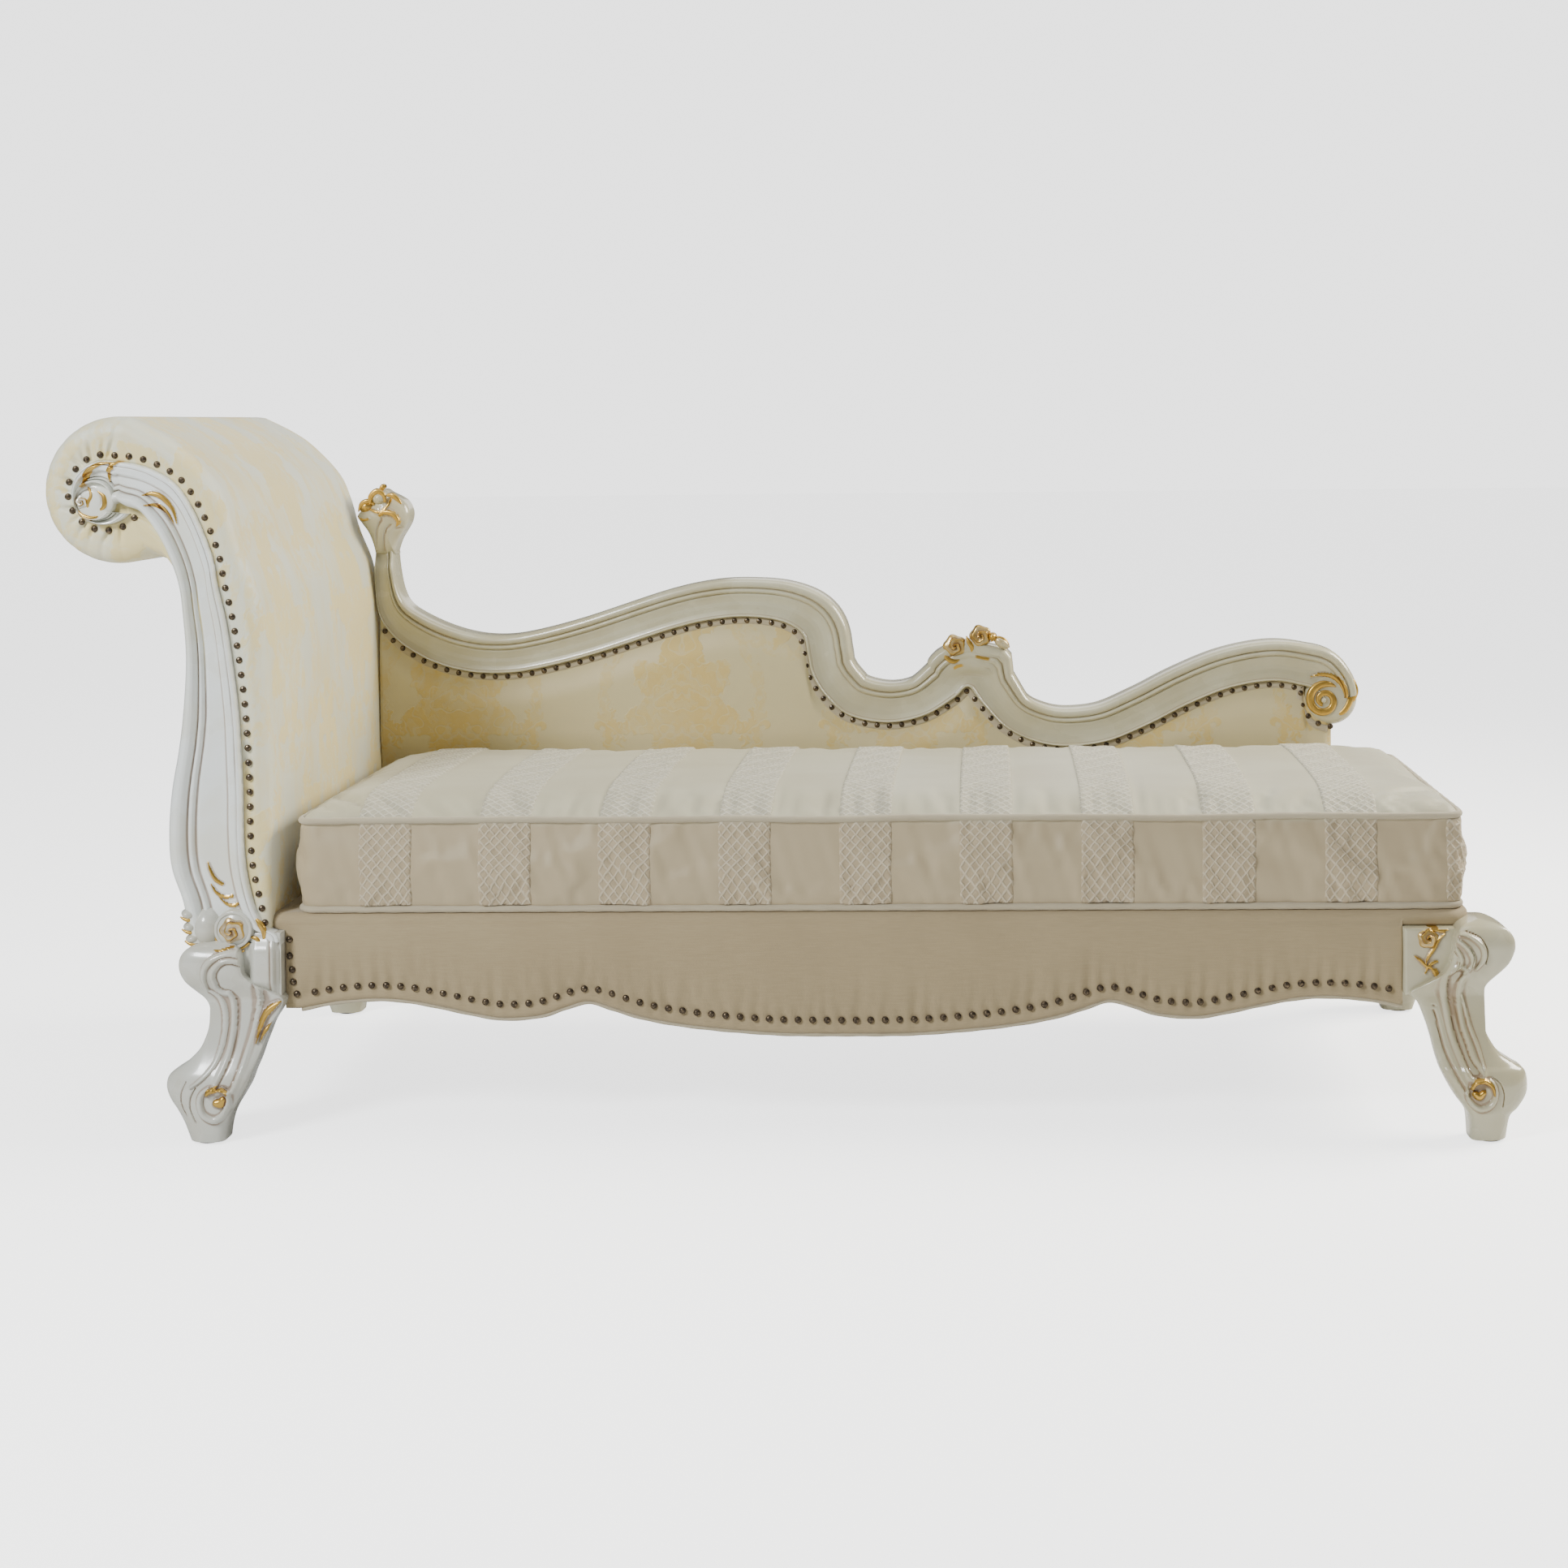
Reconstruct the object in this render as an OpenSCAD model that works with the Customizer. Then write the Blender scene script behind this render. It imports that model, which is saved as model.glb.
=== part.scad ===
// Chaise longue with a scrolled headrest, a carved half back and a loose seat cushion.
// Millimetres. X runs from the head end to the foot end, -Y is the front, Z is up,
// and the origin is on the floor under the middle of the piece.

/* [Overall] */
// Length from the headrest roll to the toes of the foot end
overall_l = 2130; // [2080:10:2180]
// Depth over the toes of the front and rear feet
overall_d = 790; // [784:2:810]
// Height of the top of the headrest
overall_h = 1040; // [1015:5:1065]

/* [Seat base] */
// Height of the deck that the seat cushion lies on
deck_z = 318; // [310:1:326]
// Thickness of the deck padding with its cover
deck_t = 23; // [18:1:28]
// Depth of the upholstered base from its front face to its rear face
base_d = 656; // [650:2:662]
// Thickness of the front and end seat rails
rail_t = 28; // [22:1:34]
// Thickness of the padded fabric over the front and end rails
skirt_t = 12; // [8:1:14]
// Height of the lowest part of the apron above the floor
apron_z = 141; // [132:1:150]
// Distance from the foot end toes to the upholstered end of the base
end_inset = 77; // [70:1:84]
// Radius of the upholstered corners at the foot end
corner_r = 30; // [24:1:36]
// Width of the webbing straps
strap_w = 60; // [40:2:80]
// Number of webbing straps under the seat
strap_count = 12; // [8:1:14]
// Thickness of the webbing
strap_t = 2; // [1.5:0.1:3]

/* [Cushion] */
// Height of the cushion at its piped edges
cushion_t = 138; // [120:2:150]
// Rise of the cushion's middle above its edges
crown = 20; // [10:1:26]
// How far the cushion's sides bulge between the piped edges
bulge = 6; // [3:0.5:7]
// Radius of the piping cord
welt_r = 4; // [3:0.25:4.5]
// Number of quilted bands across the cushion
band_count = 10; // [8:1:11]
// Width of a quilted band
band_w = 75; // [60:1:85]
// How far a quilted band stands above the plain bands
band_rise = 2.5; // [1:0.25:4]

/* [Headrest] */
// Distance from the outermost point of the roll to the inner face of the headrest
head_reach = 320; // [312:1:328]
// Radius of the headrest roll
roll_r = 104; // [100:1:108]
// Thickness of the headrest padding
head_pad_t = 14; // [10:1:18]
// Thickness of the wadded cover over the headrest's padding
head_wrap_t = 8; // [7:0.5:10]
// Thickness of the wadded cover on the front and rear of the headrest
head_skin_t = 3; // [2.5:0.5:4]
// Radius of the rounded front and rear edges of the headrest
head_edge_r = 14; // [8:1:16]
// Thickness of the side boards of the headrest
board_t = 22; // [18:1:25]
// Thickness of the slats between the side boards
slat_t = 10; // [8:0.5:14]
// Thickness of the carved scroll facing
facing_t = 28; // [24:1:32]
// Radius of the wooden volute at the top of the facing
volute_r = 46.5; // [43:0.5:49]

/* [Back] */
// Length of the back panel from the headrest to its foot end
back_l = 1628; // [1600:4:1650]
// Thickness of the back padding
back_pad_t = 12; // [8:1:14]
// Thickness of the upright back posts
post_t = 20; // [16:1:22]
// Width of the upright back posts
post_w = 45; // [36:1:54]
// Thickness of the crest rail from front to back
crest_t = 55; // [52:1:60]
// How far the crest rail's mouldings stand in front of the back panel
crest_lip = 12; // [9:0.5:13]
// Radius of the volute at the foot end of the crest rail
end_volute_r = 46; // [42:1:48]

/* [Legs] */
// Distance from the outermost point of the roll to the head end toes
leg_inset = 175; // [168:1:182]
// Reach of a toe from the middle of its foot
toe_reach = 62; // [58:1:66]
// Height of the block at the top of each leg
block_h = 95; // [88:1:100]
// Width of the head end blocks
head_block_w = 135; // [130:1:140]
// Width of the foot end blocks
foot_block_w = 95; // [90:1:100]
// Height of the glides under the feet
glide_h = 4; // [3:0.5:6]
// Radius of the glides
glide_r = 18; // [14:1:20]
// Radius of the leg bolts
bolt_r = 4; // [3:0.5:5]
// Length of the leg bolts under their heads
bolt_l = 62; // [58:1:66]
// Leg of the triangular corner blocks
brace_l = 80; // [70:1:90]

/* [Trim] */
// Radius of a decorative nail head
nail_r = 5; // [4:0.25:5.5]
// Height of a decorative nail head
nail_h = 3.5; // [2.5:0.25:4.5]
// Distance between neighbouring nails
nail_pitch = 21; // [18:0.5:26]
// Radius of the carved roses
rose_r = 19; // [16:0.5:21]
// Radius of the welt along the apron's lower edge
hem_r = 3; // [2.5:0.25:3.5]

/* [Hidden] */
$fn = 48;
// Clearance between pieces that lie against each other
gap = 0.3;
// Thickness of the upholstery fabric
fabric = 2.5;
// Thickness of the burlap under the padding
burlap = 1.5;
// Clearance around a bolt
bolt_clear = 0.15;
bolt_head_h = 5;

// Places along the length
x_roll = -overall_l / 2;
x_head = x_roll + head_reach;
x_end = overall_l / 2 - end_inset;
x_foot_head = x_roll + leg_inset + toe_reach;
x_foot_end = overall_l / 2 - toe_reach;
x_back_end = x_head + back_l;
// The leg blocks reach from their outer face towards the middle
block_out = 12;
x_block_head = x_foot_head - block_out;
x_block_foot = x_end - 3;
x_apron_head = x_block_head + head_block_w;
x_apron_foot = x_block_foot - foot_block_w;

// Places across the depth
toe_y = 30.5;
foot_y = overall_d / 2 - toe_y;
y_front = -base_d / 2;
y_rear = base_d / 2;
block_front = 20;
y_block_front = y_front - block_front;
block_d = 78;
y_brace = -y_block_front - block_d;
y_post = y_rear - fabric - post_t;
y_panel = y_post - burlap - back_pad_t - fabric;
y_facing = y_front;
head_front_t = 12.5;
y_head = -y_front + head_front_t;

// Heights
z_block = deck_z - deck_t;
z_block_low = z_block - block_h;
z_rail = z_block - strap_t;
z_rail_low = z_block_low - 1;
hem_rise = 8;

// Curves

// Point at t between b and c on a smooth curve through a, b, c and d
function between(a, b, c, d, t) =
    0.5 * (2 * b + (c - a) * t + (2 * a - 5 * b + 4 * c - d) * t * t
    + (3 * b - a - 3 * c + d) * t * t * t);

// Smooth curve through the points p with n steps from each to the next
function curve(p, n) =
    let (m = len(p) - 1)
    concat(
        [for (i = [0:m - 1], k = [0:n - 1])
            between(p[max(i - 1, 0)], p[i], p[i + 1], p[min(i + 2, m)], k / n)],
        [p[m]]);

// Unit normal to the left of the path p at point i
function side(p, i) =
    let (a = p[max(i - 1, 0)], b = p[min(i + 1, len(p) - 1)])
    [a.y - b.y, b.x - a.x] / norm([a.y - b.y, b.x - a.x]);

// The path p moved d to its left
function shifted(p, d) = [for (i = [0:len(p) - 1]) [p[i].x, p[i].y] + d * side(p, i)];

function arc(c, r, a0, a1, n) =
    [for (k = [0:n]) let (a = a0 + (a1 - a0) * k / n) c + r * [cos(a), sin(a)]];

// Length of the path p up to each of its points
function lengths(p, i = 0, so_far = 0) =
    i == len(p) - 1 ? [so_far]
    : concat([so_far], lengths(p, i + 1, so_far + norm(p[i + 1] - p[i])));

// Points along the path p at equal distances close to the pitch
function stepped(p, pitch) =
    let (s = lengths(p), total = s[len(s) - 1], n = floor(total / pitch))
    [for (k = [0:n])
        let (d = total * k / n)
        [lookup(d, [for (i = [0:len(p) - 1]) [s[i], p[i].x]]),
         lookup(d, [for (i = [0:len(p) - 1]) [s[i], p[i].y]])]];

function reversed(p) = [for (i = [len(p) - 1:-1:0]) p[i]];

// Faces of a flat end with its points from k0 on
function end_face(k0, n, flip) =
    [[for (k = [0:n - 1]) k0 + (flip ? n - 1 - k : k)]];

// Faces of an end as strips between the ring's first half and its mirrored second half
function end_strips(k0, n, flip) =
    [for (k = [0:n / 2 - 2], s = [0, 1])
        let (
            a = k0 + k, b = a + 1, c = k0 + n - 1 - k, d = c - 1,
            t = s == 0 ? [a, b, c] : [b, d, c])
        flip ? reversed(t) : t];

// Solid through rings that all have the same number of points
module loft(rings, strips = false) {
    n = len(rings[0]);
    m = len(rings);
    top = (m - 1) * n;
    polyhedron(
        points = [for (r = rings) each r],
        faces = concat(
            strips ? end_strips(0, n, false) : end_face(0, n, false),
            strips ? end_strips(top, n, true) : end_face(top, n, true),
            [for (i = [0:m - 2], k = [0:n - 1], s = [0, 1])
                let (a = i * n + k, b = i * n + (k + 1) % n)
                s == 0 ? [a, a + n, b] : [b, a + n, b + n]]));
}

// Board with an outline in X and Z, from y0 to y1
module board(outline, y0, y1) {
    translate([0, y1, 0])
        rotate([90, 0, 0])
            linear_extrude(height = y1 - y0)
                polygon(outline);
}

// Box from one corner to the other
module block(a, b) {
    translate(a)
        cube(b - a);
}

// Apron

// Half of the apron's lower edge: distance from its middle, height above its lowest part
apron_half = [
    [0, 0], [95, 1], [190, 8], [260, 17], [308, 27], [343, 38], [378, 48], [413, 39],
    [448, 28], [500, 24], [542, 30], [589, 40], [636, 49], [685, 53], [745, 49], [800, 39]
];
apron_mid = (x_apron_head + x_apron_foot) / 2;
apron_scale = (x_apron_foot - x_apron_head) / 2 / 800;
apron_side = curve([for (p = apron_half) [p.x * apron_scale, apron_z + p.y]], 2);
apron_edge = concat(
    [for (i = [len(apron_side) - 1:-1:1]) [apron_mid - apron_side[i].x, apron_side[i].y]],
    [for (p = apron_side) [apron_mid + p.x, p.y]]);

module front_rail() {
    color("burlywood")
        board(
            concat(
                [[x_apron_head + gap, z_rail]],
                [for (p = apron_edge)
                    [min(max(p.x, x_apron_head + gap), x_apron_foot - gap), p.y + hem_rise]],
                [[x_apron_foot - gap, z_rail]]),
            y_front + skirt_t + gap, y_front + skirt_t + gap + rail_t);
}

y_rail_inner = y_front + skirt_t + gap + rail_t;
y_rear_rail = y_rear - fabric - rail_t;

module rear_rail() {
    color("burlywood")
        block(
            [x_apron_head + gap, y_rear_rail, z_rail_low],
            [x_apron_foot - gap, y_rear - fabric, z_rail]);
}

module end_rail(x) {
    color("burlywood")
        block([x, gap - y_brace, z_rail_low], [x + rail_t, y_brace - gap, z_rail]);
}

x_head_rail = x_block_head + gap;
x_foot_rail = x_end - skirt_t - gap - rail_t;

module head_rail() {
    end_rail(x_head_rail);
}

module foot_rail() {
    end_rail(x_foot_rail);
}

stretcher_w = 45;
stretcher_h = 40;
stretcher_count = 3;

module cross_stretchers() {
    pitch = (x_foot_rail - x_head_rail) / (stretcher_count + 1);
    color("burlywood")
        for (i = [1:stretcher_count])
            translate([x_head_rail + i * pitch, 0, 0])
                block(
                    [-stretcher_w / 2, y_rail_inner + gap, z_rail_low],
                    [stretcher_w / 2, y_rear_rail - gap, z_rail_low + stretcher_h]);
}

brace_z = z_block_low + 15;
brace_h = block_h - 30;
bolt_z = brace_z + brace_h / 2;
// Distance of the bolt from the rail that the brace lies against
bolt_off = brace_l * 0.35;
// Depth of material left under the bolt head
brace_seat = 30;

// One corner brace in the corner of a rail at x, reaching along sx, with its leg block at sy
module brace(x, sx, sy) {
    translate([x, sy * (y_brace - gap), brace_z])
        difference() {
            linear_extrude(height = brace_h)
                polygon([[0, 0], [sx * brace_l, 0], [0, -sy * brace_l]]);
            translate([sx * bolt_off, 0, brace_h / 2])
                rotate([90, 0, 0]) {
                    cylinder(r = bolt_r + bolt_clear, h = 4 * brace_l, center = true);
                    translate([0, 0, sy > 0 ? brace_seat : -brace_seat - brace_l])
                        cylinder(r = 2 * bolt_r + 1, h = brace_l);
                }
        }
}

module corner_braces() {
    color("tan")
        for (sy = [-1, 1]) {
            brace(x_head_rail + rail_t + gap, 1, sy);
            brace(x_foot_rail - gap, -1, sy);
        }
}

module leg_bolt(x, sy) {
    translate([x, sy * (y_brace - gap - brace_seat - gap), bolt_z])
        rotate([sy * -90, 0, 0]) {
            cylinder(r = bolt_r, h = bolt_l);
            translate([0, 0, -bolt_head_h])
                cylinder(r = 1.8 * bolt_r, h = bolt_head_h, $fn = 6);
        }
}

x_bolt_head = x_head_rail + rail_t + gap + bolt_off;
x_bolt_foot = x_foot_rail - gap - bolt_off;

module leg_bolts() {
    color("silver")
        for (x = [x_bolt_head, x_bolt_foot], sy = [-1, 1])
            leg_bolt(x, sy);
}

module seat_webbing() {
    span = x_apron_foot - x_apron_head - 2 * gap - strap_w;
    color("saddlebrown")
        for (i = [0:strap_count - 1])
            translate([x_apron_head + gap + strap_w / 2 + i * span / (strap_count - 1), 0, 0])
                block(
                    [-strap_w / 2, y_front + skirt_t + 2 * gap, z_rail],
                    [strap_w / 2, y_post - gap, z_block]);
}

// Plan of the deck, with the back panel's foot left out of its rear edge
module deck_plan(inset) {
    x0 = x_head + gap;
    x1 = x_end - inset;
    y0 = y_front + inset;
    r = corner_r - inset;
    polygon(concat(
        [[x0, y0]],
        arc([x1 - r, y0 + r], r, -90, 0, 8),
        arc([x1 - r, y_rear - fabric - gap - r], r, 0, 90, 8),
        [[x_back_end + gap, y_rear - fabric - gap],
         [x_back_end + gap, y_post - gap], [x0, y_post - gap]]));
}

module deck_padding() {
    color("ivory")
        translate([0, 0, z_block])
            linear_extrude(height = deck_t - fabric)
                deck_plan(skirt_t + gap);
}

module deck_cover() {
    color("antiquewhite")
        translate([0, 0, deck_z - fabric])
            linear_extrude(height = fabric)
                deck_plan(skirt_t + gap);
}

module apron_cover() {
    x_corner = x_end - corner_r - gap;
    color("wheat")
        board(
            concat(
                [[x_head + gap, deck_z], [x_head + gap, z_block + gap],
                 [x_apron_head + gap, z_block + gap]],
                [for (p = apron_edge)
                    [min(max(p.x, x_apron_head + gap), x_apron_foot - gap), p.y]],
                [[x_apron_foot - gap, z_block + gap], [x_corner, z_block + gap],
                 [x_corner, deck_z]]),
            y_front, y_front + skirt_t);
}

module apron_hem_welt() {
    sides = 6;
    path = shifted(
        [for (p = apron_edge)
            [min(max(p.x, x_apron_head + gap), x_apron_foot - gap), p.y]],
        -hem_r - gap);
    color("antiquewhite")
        loft([for (i = [0:len(path) - 1])
            let (n = side(path, i))
            [for (k = [0:sides - 1])
                let (a = 360 * k / sides)
                [path[i].x + hem_r * cos(a) * n.x, y_front + skirt_t / 2 + hem_r * sin(a),
                 path[i].y + hem_r * cos(a) * n.y]]]);
}

module rear_apron_cover() {
    color("wheat")
        block(
            [x_apron_head + gap, y_rear - fabric + gap, z_rail_low - hem_rise],
            [x_apron_foot - gap, y_rear + gap, deck_z]);
}

module foot_end_cover() {
    r_in = corner_r - skirt_t;
    x_in = x_end - skirt_t;
    outer = concat(
        [[x_end - corner_r, y_front]],
        arc([x_end - corner_r, y_front + corner_r], corner_r, -90, 0, 8),
        arc([x_end - corner_r, y_rear - corner_r], corner_r, 0, 90, 8));
    inner = concat(
        arc([x_in - r_in, y_rear - fabric - r_in], r_in, 90, 0, 8),
        arc([x_in - r_in, y_front + skirt_t + r_in], r_in, 0, -90, 8));
    color("wheat")
        union() {
            translate([0, 0, z_block + gap])
                linear_extrude(height = deck_z - z_block - gap)
                    polygon(concat(outer, inner));
            block(
                [x_in, gap - y_brace, z_rail_low - hem_rise],
                [x_end, y_brace - gap, deck_z]);
        }
}

module head_end_cover() {
    color("wheat")
        block(
            [x_head_rail - gap - skirt_t, gap - y_brace, z_rail_low - hem_rise],
            [x_head_rail - gap, y_brace - gap, z_block - gap]);
}

module dust_cover() {
    x0 = x_head_rail;
    x1 = x_foot_rail + rail_t;
    color("dimgray")
        translate([0, 0, z_rail_low - gap - burlap])
            linear_extrude(height = burlap)
                difference() {
                    polygon([
                        [x0, y_rail_inner + gap], [x1, y_rail_inner + gap],
                        [x1, y_rear - fabric], [x0, y_rear - fabric]]);
                    for (sy = [-1, 1]) {
                        translate([x0 - 1, sy > 0 ? y_brace - gap : -y_brace - 200])
                            square([x_apron_head + gap - x0 + 1, 200 + gap]);
                        translate([x_apron_foot - gap, sy > 0 ? y_brace - gap : -y_brace - 200])
                            square([200, 200 + gap]);
                    }
                }
}

// Legs

// Levels of a leg: height, reach outwards and inwards along the length,
// reach outwards and inwards across the depth, all from the middle of the foot
leg_levels = [
    [0, 27, 27, 27, 27], [24, 36, 31, 29, 28], [43, 46, 38, 30.5, 30],
    [60, 57, 48, 30.5, 34], [78, 62, 58, 30, 40], [95, 56, 64, 25, 46],
    [112, 32, 71, 16, 52], [130, 14, 77, 8, 57], [147, 6, 83, 3, 62],
    [166, 1, 90, -1, 68], [185, 0, 101, -4, 76], [200, 8, 104, -6, 84],
    [212, 20, 86, -2, 84], [224, 31, 64, 4, 84], [238, 39, 50, 9, 84],
    [256, 43, 46, 12, 84], [276, 38, 46, 9, 84], [288, 22, 44, 0, 84],
    [295, 12, 42, -10, 84]
];
leg_steps = 2;
leg_drawn_h = 295;
leg_drawn_reach = 62;
leg_drawn_depth = 84;
// The leg's top stops this much in front of the block's rear side
leg_back = 10.5;
// Least rounding of a leg's outer side, and how far it stops under the block's top
leg_round = 6;
leg_under = 1;

// Power that rounds the four corners of a leg's section
function leg_corner(a) = a <= 90 ? 1 : 0.5;

// Ring of a leg at one level, as seen on a front leg whose toe points to +X
function leg_ring(v) =
    let (
        n = 16,
        z = glide_h + v[0] * (z_block - leg_under - glide_h) / leg_drawn_h,
        k = toe_reach / leg_drawn_reach,
        kd = (foot_y - y_brace - leg_back) / leg_drawn_depth,
        inset = min(v[3] - leg_round, 0))
    [for (i = [0:n - 1])
        let (
            a = 360 * i / n,
            e = leg_corner(a),
            cx = sign(cos(a)) * pow(abs(cos(a)), e),
            cy = sign(sin(a)) * pow(abs(sin(a)), e))
        [cx * (cx > 0 ? k * v[1] : v[2]),
         foot_y + inset + cy * (cy > 0 ? v[3] - inset : kd * v[4] + inset), z]];

module leg_body() {
    loft([for (v = curve(leg_levels, leg_steps)) leg_ring(v)]);
}

// Leg at foot place x with its toe pointing along sx, and its block from x0 to x1
module leg(x, sx, sy, x0, x1, block_face, bolt_x) {
    difference() {
        union() {
            translate([x, 0, 0])
                scale([sx, sy, 1])
                    leg_body();
            block(
                [min(x0, x1), sy > 0 ? y_brace : -block_face, z_block_low],
                [max(x0, x1), sy > 0 ? block_face : -y_brace, z_block]);
        }
        translate([bolt_x, sy * (y_brace - 1), bolt_z])
            rotate([sy * -90, 0, 0])
                cylinder(
                    r = bolt_r + bolt_clear, h = bolt_l - brace_seat + 3, $fn = 24);
    }
}

module front_head_leg() {
    color("white")
        leg(x_foot_head, -1, -1, x_block_head, x_apron_head, -y_block_front, x_bolt_head);
}

module front_foot_leg() {
    color("white")
        leg(x_foot_end, 1, -1, x_block_foot, x_apron_foot, -y_block_front, x_bolt_foot);
}

module rear_head_leg() {
    color("white")
        leg(x_foot_head, -1, 1, x_block_head, x_apron_head, y_rear, x_bolt_head);
}

module rear_foot_leg() {
    color("white")
        leg(x_foot_end, 1, 1, x_block_foot, x_apron_foot, y_rear, x_bolt_foot);
}

module foot_glides() {
    color("dimgray")
        for (x = [x_foot_head, x_foot_end], sy = [-1, 1])
            translate([x, sy * foot_y, 0])
                cylinder(r = glide_r, h = glide_h);
}

// Headrest

roll_c = [x_roll + roll_r, overall_h - roll_r];
// The roll starts under its middle, at the neck, and ends a little past its top
neck_a = 300;
roll_end_a = 80;
neck_h = roll_c.y + roll_r * sin(neck_a) - z_block;
// The headrest's curves are drawn from the foot of its inner face at these sizes
drawn_neck_h = 551;
drawn_reach = 216;

// Place of a drawn point on the headrest
function head_pt(p) =
    let (f = min(max(p.y / drawn_neck_h, 0), 1))
    [x_head + p.x - f * (head_reach - roll_r - drawn_reach),
     p.y < drawn_neck_h ? z_block + p.y * neck_h / drawn_neck_h
     : z_block + neck_h + p.y - drawn_neck_h];

outer_drawn = [
    [-109, 0], [-123, 45], [-138, 105], [-140, 155], [-131, 225], [-119, 305],
    [-112, 385], [-113, 445], [-121, 505], [-136, 537]
];
inner_drawn = [
    [-155, 724], [-120, 699], [-75, 652], [-55, 608], [-40, 555], [-20, 505],
    [-10, 455], [-5, 385], [-1, 205], [0, 0]
];

// Outline of the headrest from the foot of its outer side over the roll to its inner foot
head_line = concat(
    curve([for (p = outer_drawn) head_pt(p)], 2),
    arc(roll_c, roll_r, neck_a, roll_end_a, 18),
    curve([for (p = inner_drawn) head_pt(p)], 2));

// The outline drawn in by a distance, cut flat at a height above the leg blocks
function head_outline(inset, foot = gap) =
    let (p = shifted(head_line, -inset), n = len(p) - 1)
    [for (i = [0:n]) i == 0 || i == n ? [p[i].x, z_block + foot] : p[i]];

// The headrest's whole form with rounded front and rear edges
module head_form(inset, foot = gap) {
    steps = 3;
    r = head_edge_r;
    half = y_head - inset;
    ends = [for (k = [0:steps])
        let (a = 90 * k / steps) [half - r + r * sin(a), r * (1 - cos(a))]];
    levels = concat([for (e = reversed(ends)) [-e.x, e.y]], ends);
    loft([for (v = levels)
        [for (p = head_outline(inset + v.y, foot)) [p.x, v.x, p.y]]]);
}

head_core = head_wrap_t + gap + head_pad_t + gap + burlap + gap;
y_board = -y_front;

module head_skin() {
    half = y_head - head_skin_t;
    difference() {
        head_form(0);
        board(head_outline(head_wrap_t, -5), -half, half);
        facing_room();
    }
}

// Space that the carved facing takes out of the padding and its cover
module facing_room() {
    board(facing_outline(gap), y_front - head_front_t - 1, y_front);
    translate([volute_c.x, y_front, volute_c.y])
        rotate([90, 0, 0])
            cylinder(r = volute_r + gap, h = head_front_t + 1);
}

// The roll has a cover of its own, sewn to the lower one in the neck
z_roll_seam = roll_c.y + roll_r * sin(neck_a);

module head_cover() {
    color("ivory")
        difference() {
            head_skin();
            block(
                [x_roll - 1, -overall_d / 2, z_roll_seam - gap / 2],
                [x_head + 1, overall_d / 2, overall_h + 1]);
        }
}

module roll_cover() {
    color("ivory")
        difference() {
            head_skin();
            block(
                [x_roll - 1, -overall_d / 2, 0],
                [x_head + 1, overall_d / 2, z_roll_seam + gap / 2]);
        }
}

module head_padding() {
    half = y_head - head_skin_t - gap;
    color("ivory")
        difference() {
            board(head_outline(head_wrap_t + gap), -half, half);
            board(
                head_outline(head_core - gap - burlap - gap, -5),
                -y_board - gap, y_board + gap);
            facing_room();
        }
}

module head_lining() {
    color("peru")
        difference() {
            board(head_outline(head_core - gap - burlap), -y_board, y_board);
            board(head_outline(head_core - gap, -5), -y_board - 1, y_board + 1);
        }
}

module head_side_boards() {
    color("burlywood")
        for (y0 = [-y_board, y_board - board_t])
            board(head_outline(head_core), y0, y0 + board_t);
}

slat_w = 28;
// The slats' corners stay clear of the curved lining
slat_clear = 1.6;

module head_slats() {
    line = shifted(head_line, -head_core - slat_t / 2 - slat_clear);
    inner_face = [for (i = [22:len(line) - 1]) line[i]];
    marks = stepped(inner_face, 1.8 * slat_w);
    color("burlywood")
        for (i = [1:len(marks) - 2])
            let (d = marks[i + 1] - marks[i - 1])
                translate([marks[i].x, 0, marks[i].y])
                    rotate([0, -atan2(d.y, d.x), 0])
                        cube(
                            [slat_w, 2 * (y_board - board_t - gap), slat_t - 2 * gap],
                            center = true);
}

// Carved scroll facing

volute_c = [roll_c.x - 15, roll_c.y - 2];

// Left and right edges of the facing, drawn from the foot of the headrest's inner face
facing_left = [
    [-120, 0], [-127, 45], [-143, 94], [-146, 145], [-141, 205], [-130, 265],
    [-122, 325], [-117, 395], [-120, 455], [-126, 505], [-142, 551], [-160, 585],
    [-180, 610], [-200, 618], [-206, 621], [-210, 624]
];
facing_right = [
    [-14, 0], [-23, 45], [-33, 94], [-36, 145], [-36, 205], [-38, 265],
    [-41, 325], [-49, 395], [-58, 455], [-69, 505], [-77, 549], [-101, 610],
    [-127, 650], [-160, 671], [-186, 680], [-212, 684]
];
facing_steps = 3;
facing_l = curve([for (p = facing_left) head_pt(p)], facing_steps);
facing_r = curve([for (p = facing_right) head_pt(p)], facing_steps);
// Where the facing's right edge runs on round the volute
volute_a0 = 72;
volute_a1 = 318;

// The facing's outline with a margin all round, standing on the leg block
function facing_outline(margin) =
    let (
        l = shifted(facing_l, margin),
        r = shifted(facing_r, -margin),
        n = len(l) - 1)
    concat(
        [[l[0].x, z_block - margin]],
        [for (i = [1:n]) l[i]],
        reversed(arc(volute_c, volute_r + margin, volute_a0, volute_a1, 20)),
        [for (i = [n:-1:1]) r[i]],
        [[r[0].x, z_block - margin]]);

// Height of the facing's mouldings, from the left edge and from the right edge
bead_side = [[0, 0.35], [3, 0.75], [10, 0.98], [18, 0.9], [24, 0.5], [27, 0.62], [32, 0.6], [36, 0.36]];
border_proud = 0.86;
border_side = [[24, 0.36], [20, 0.68], [14, border_proud], [6, 0.84], [0, 0.4]];

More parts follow.
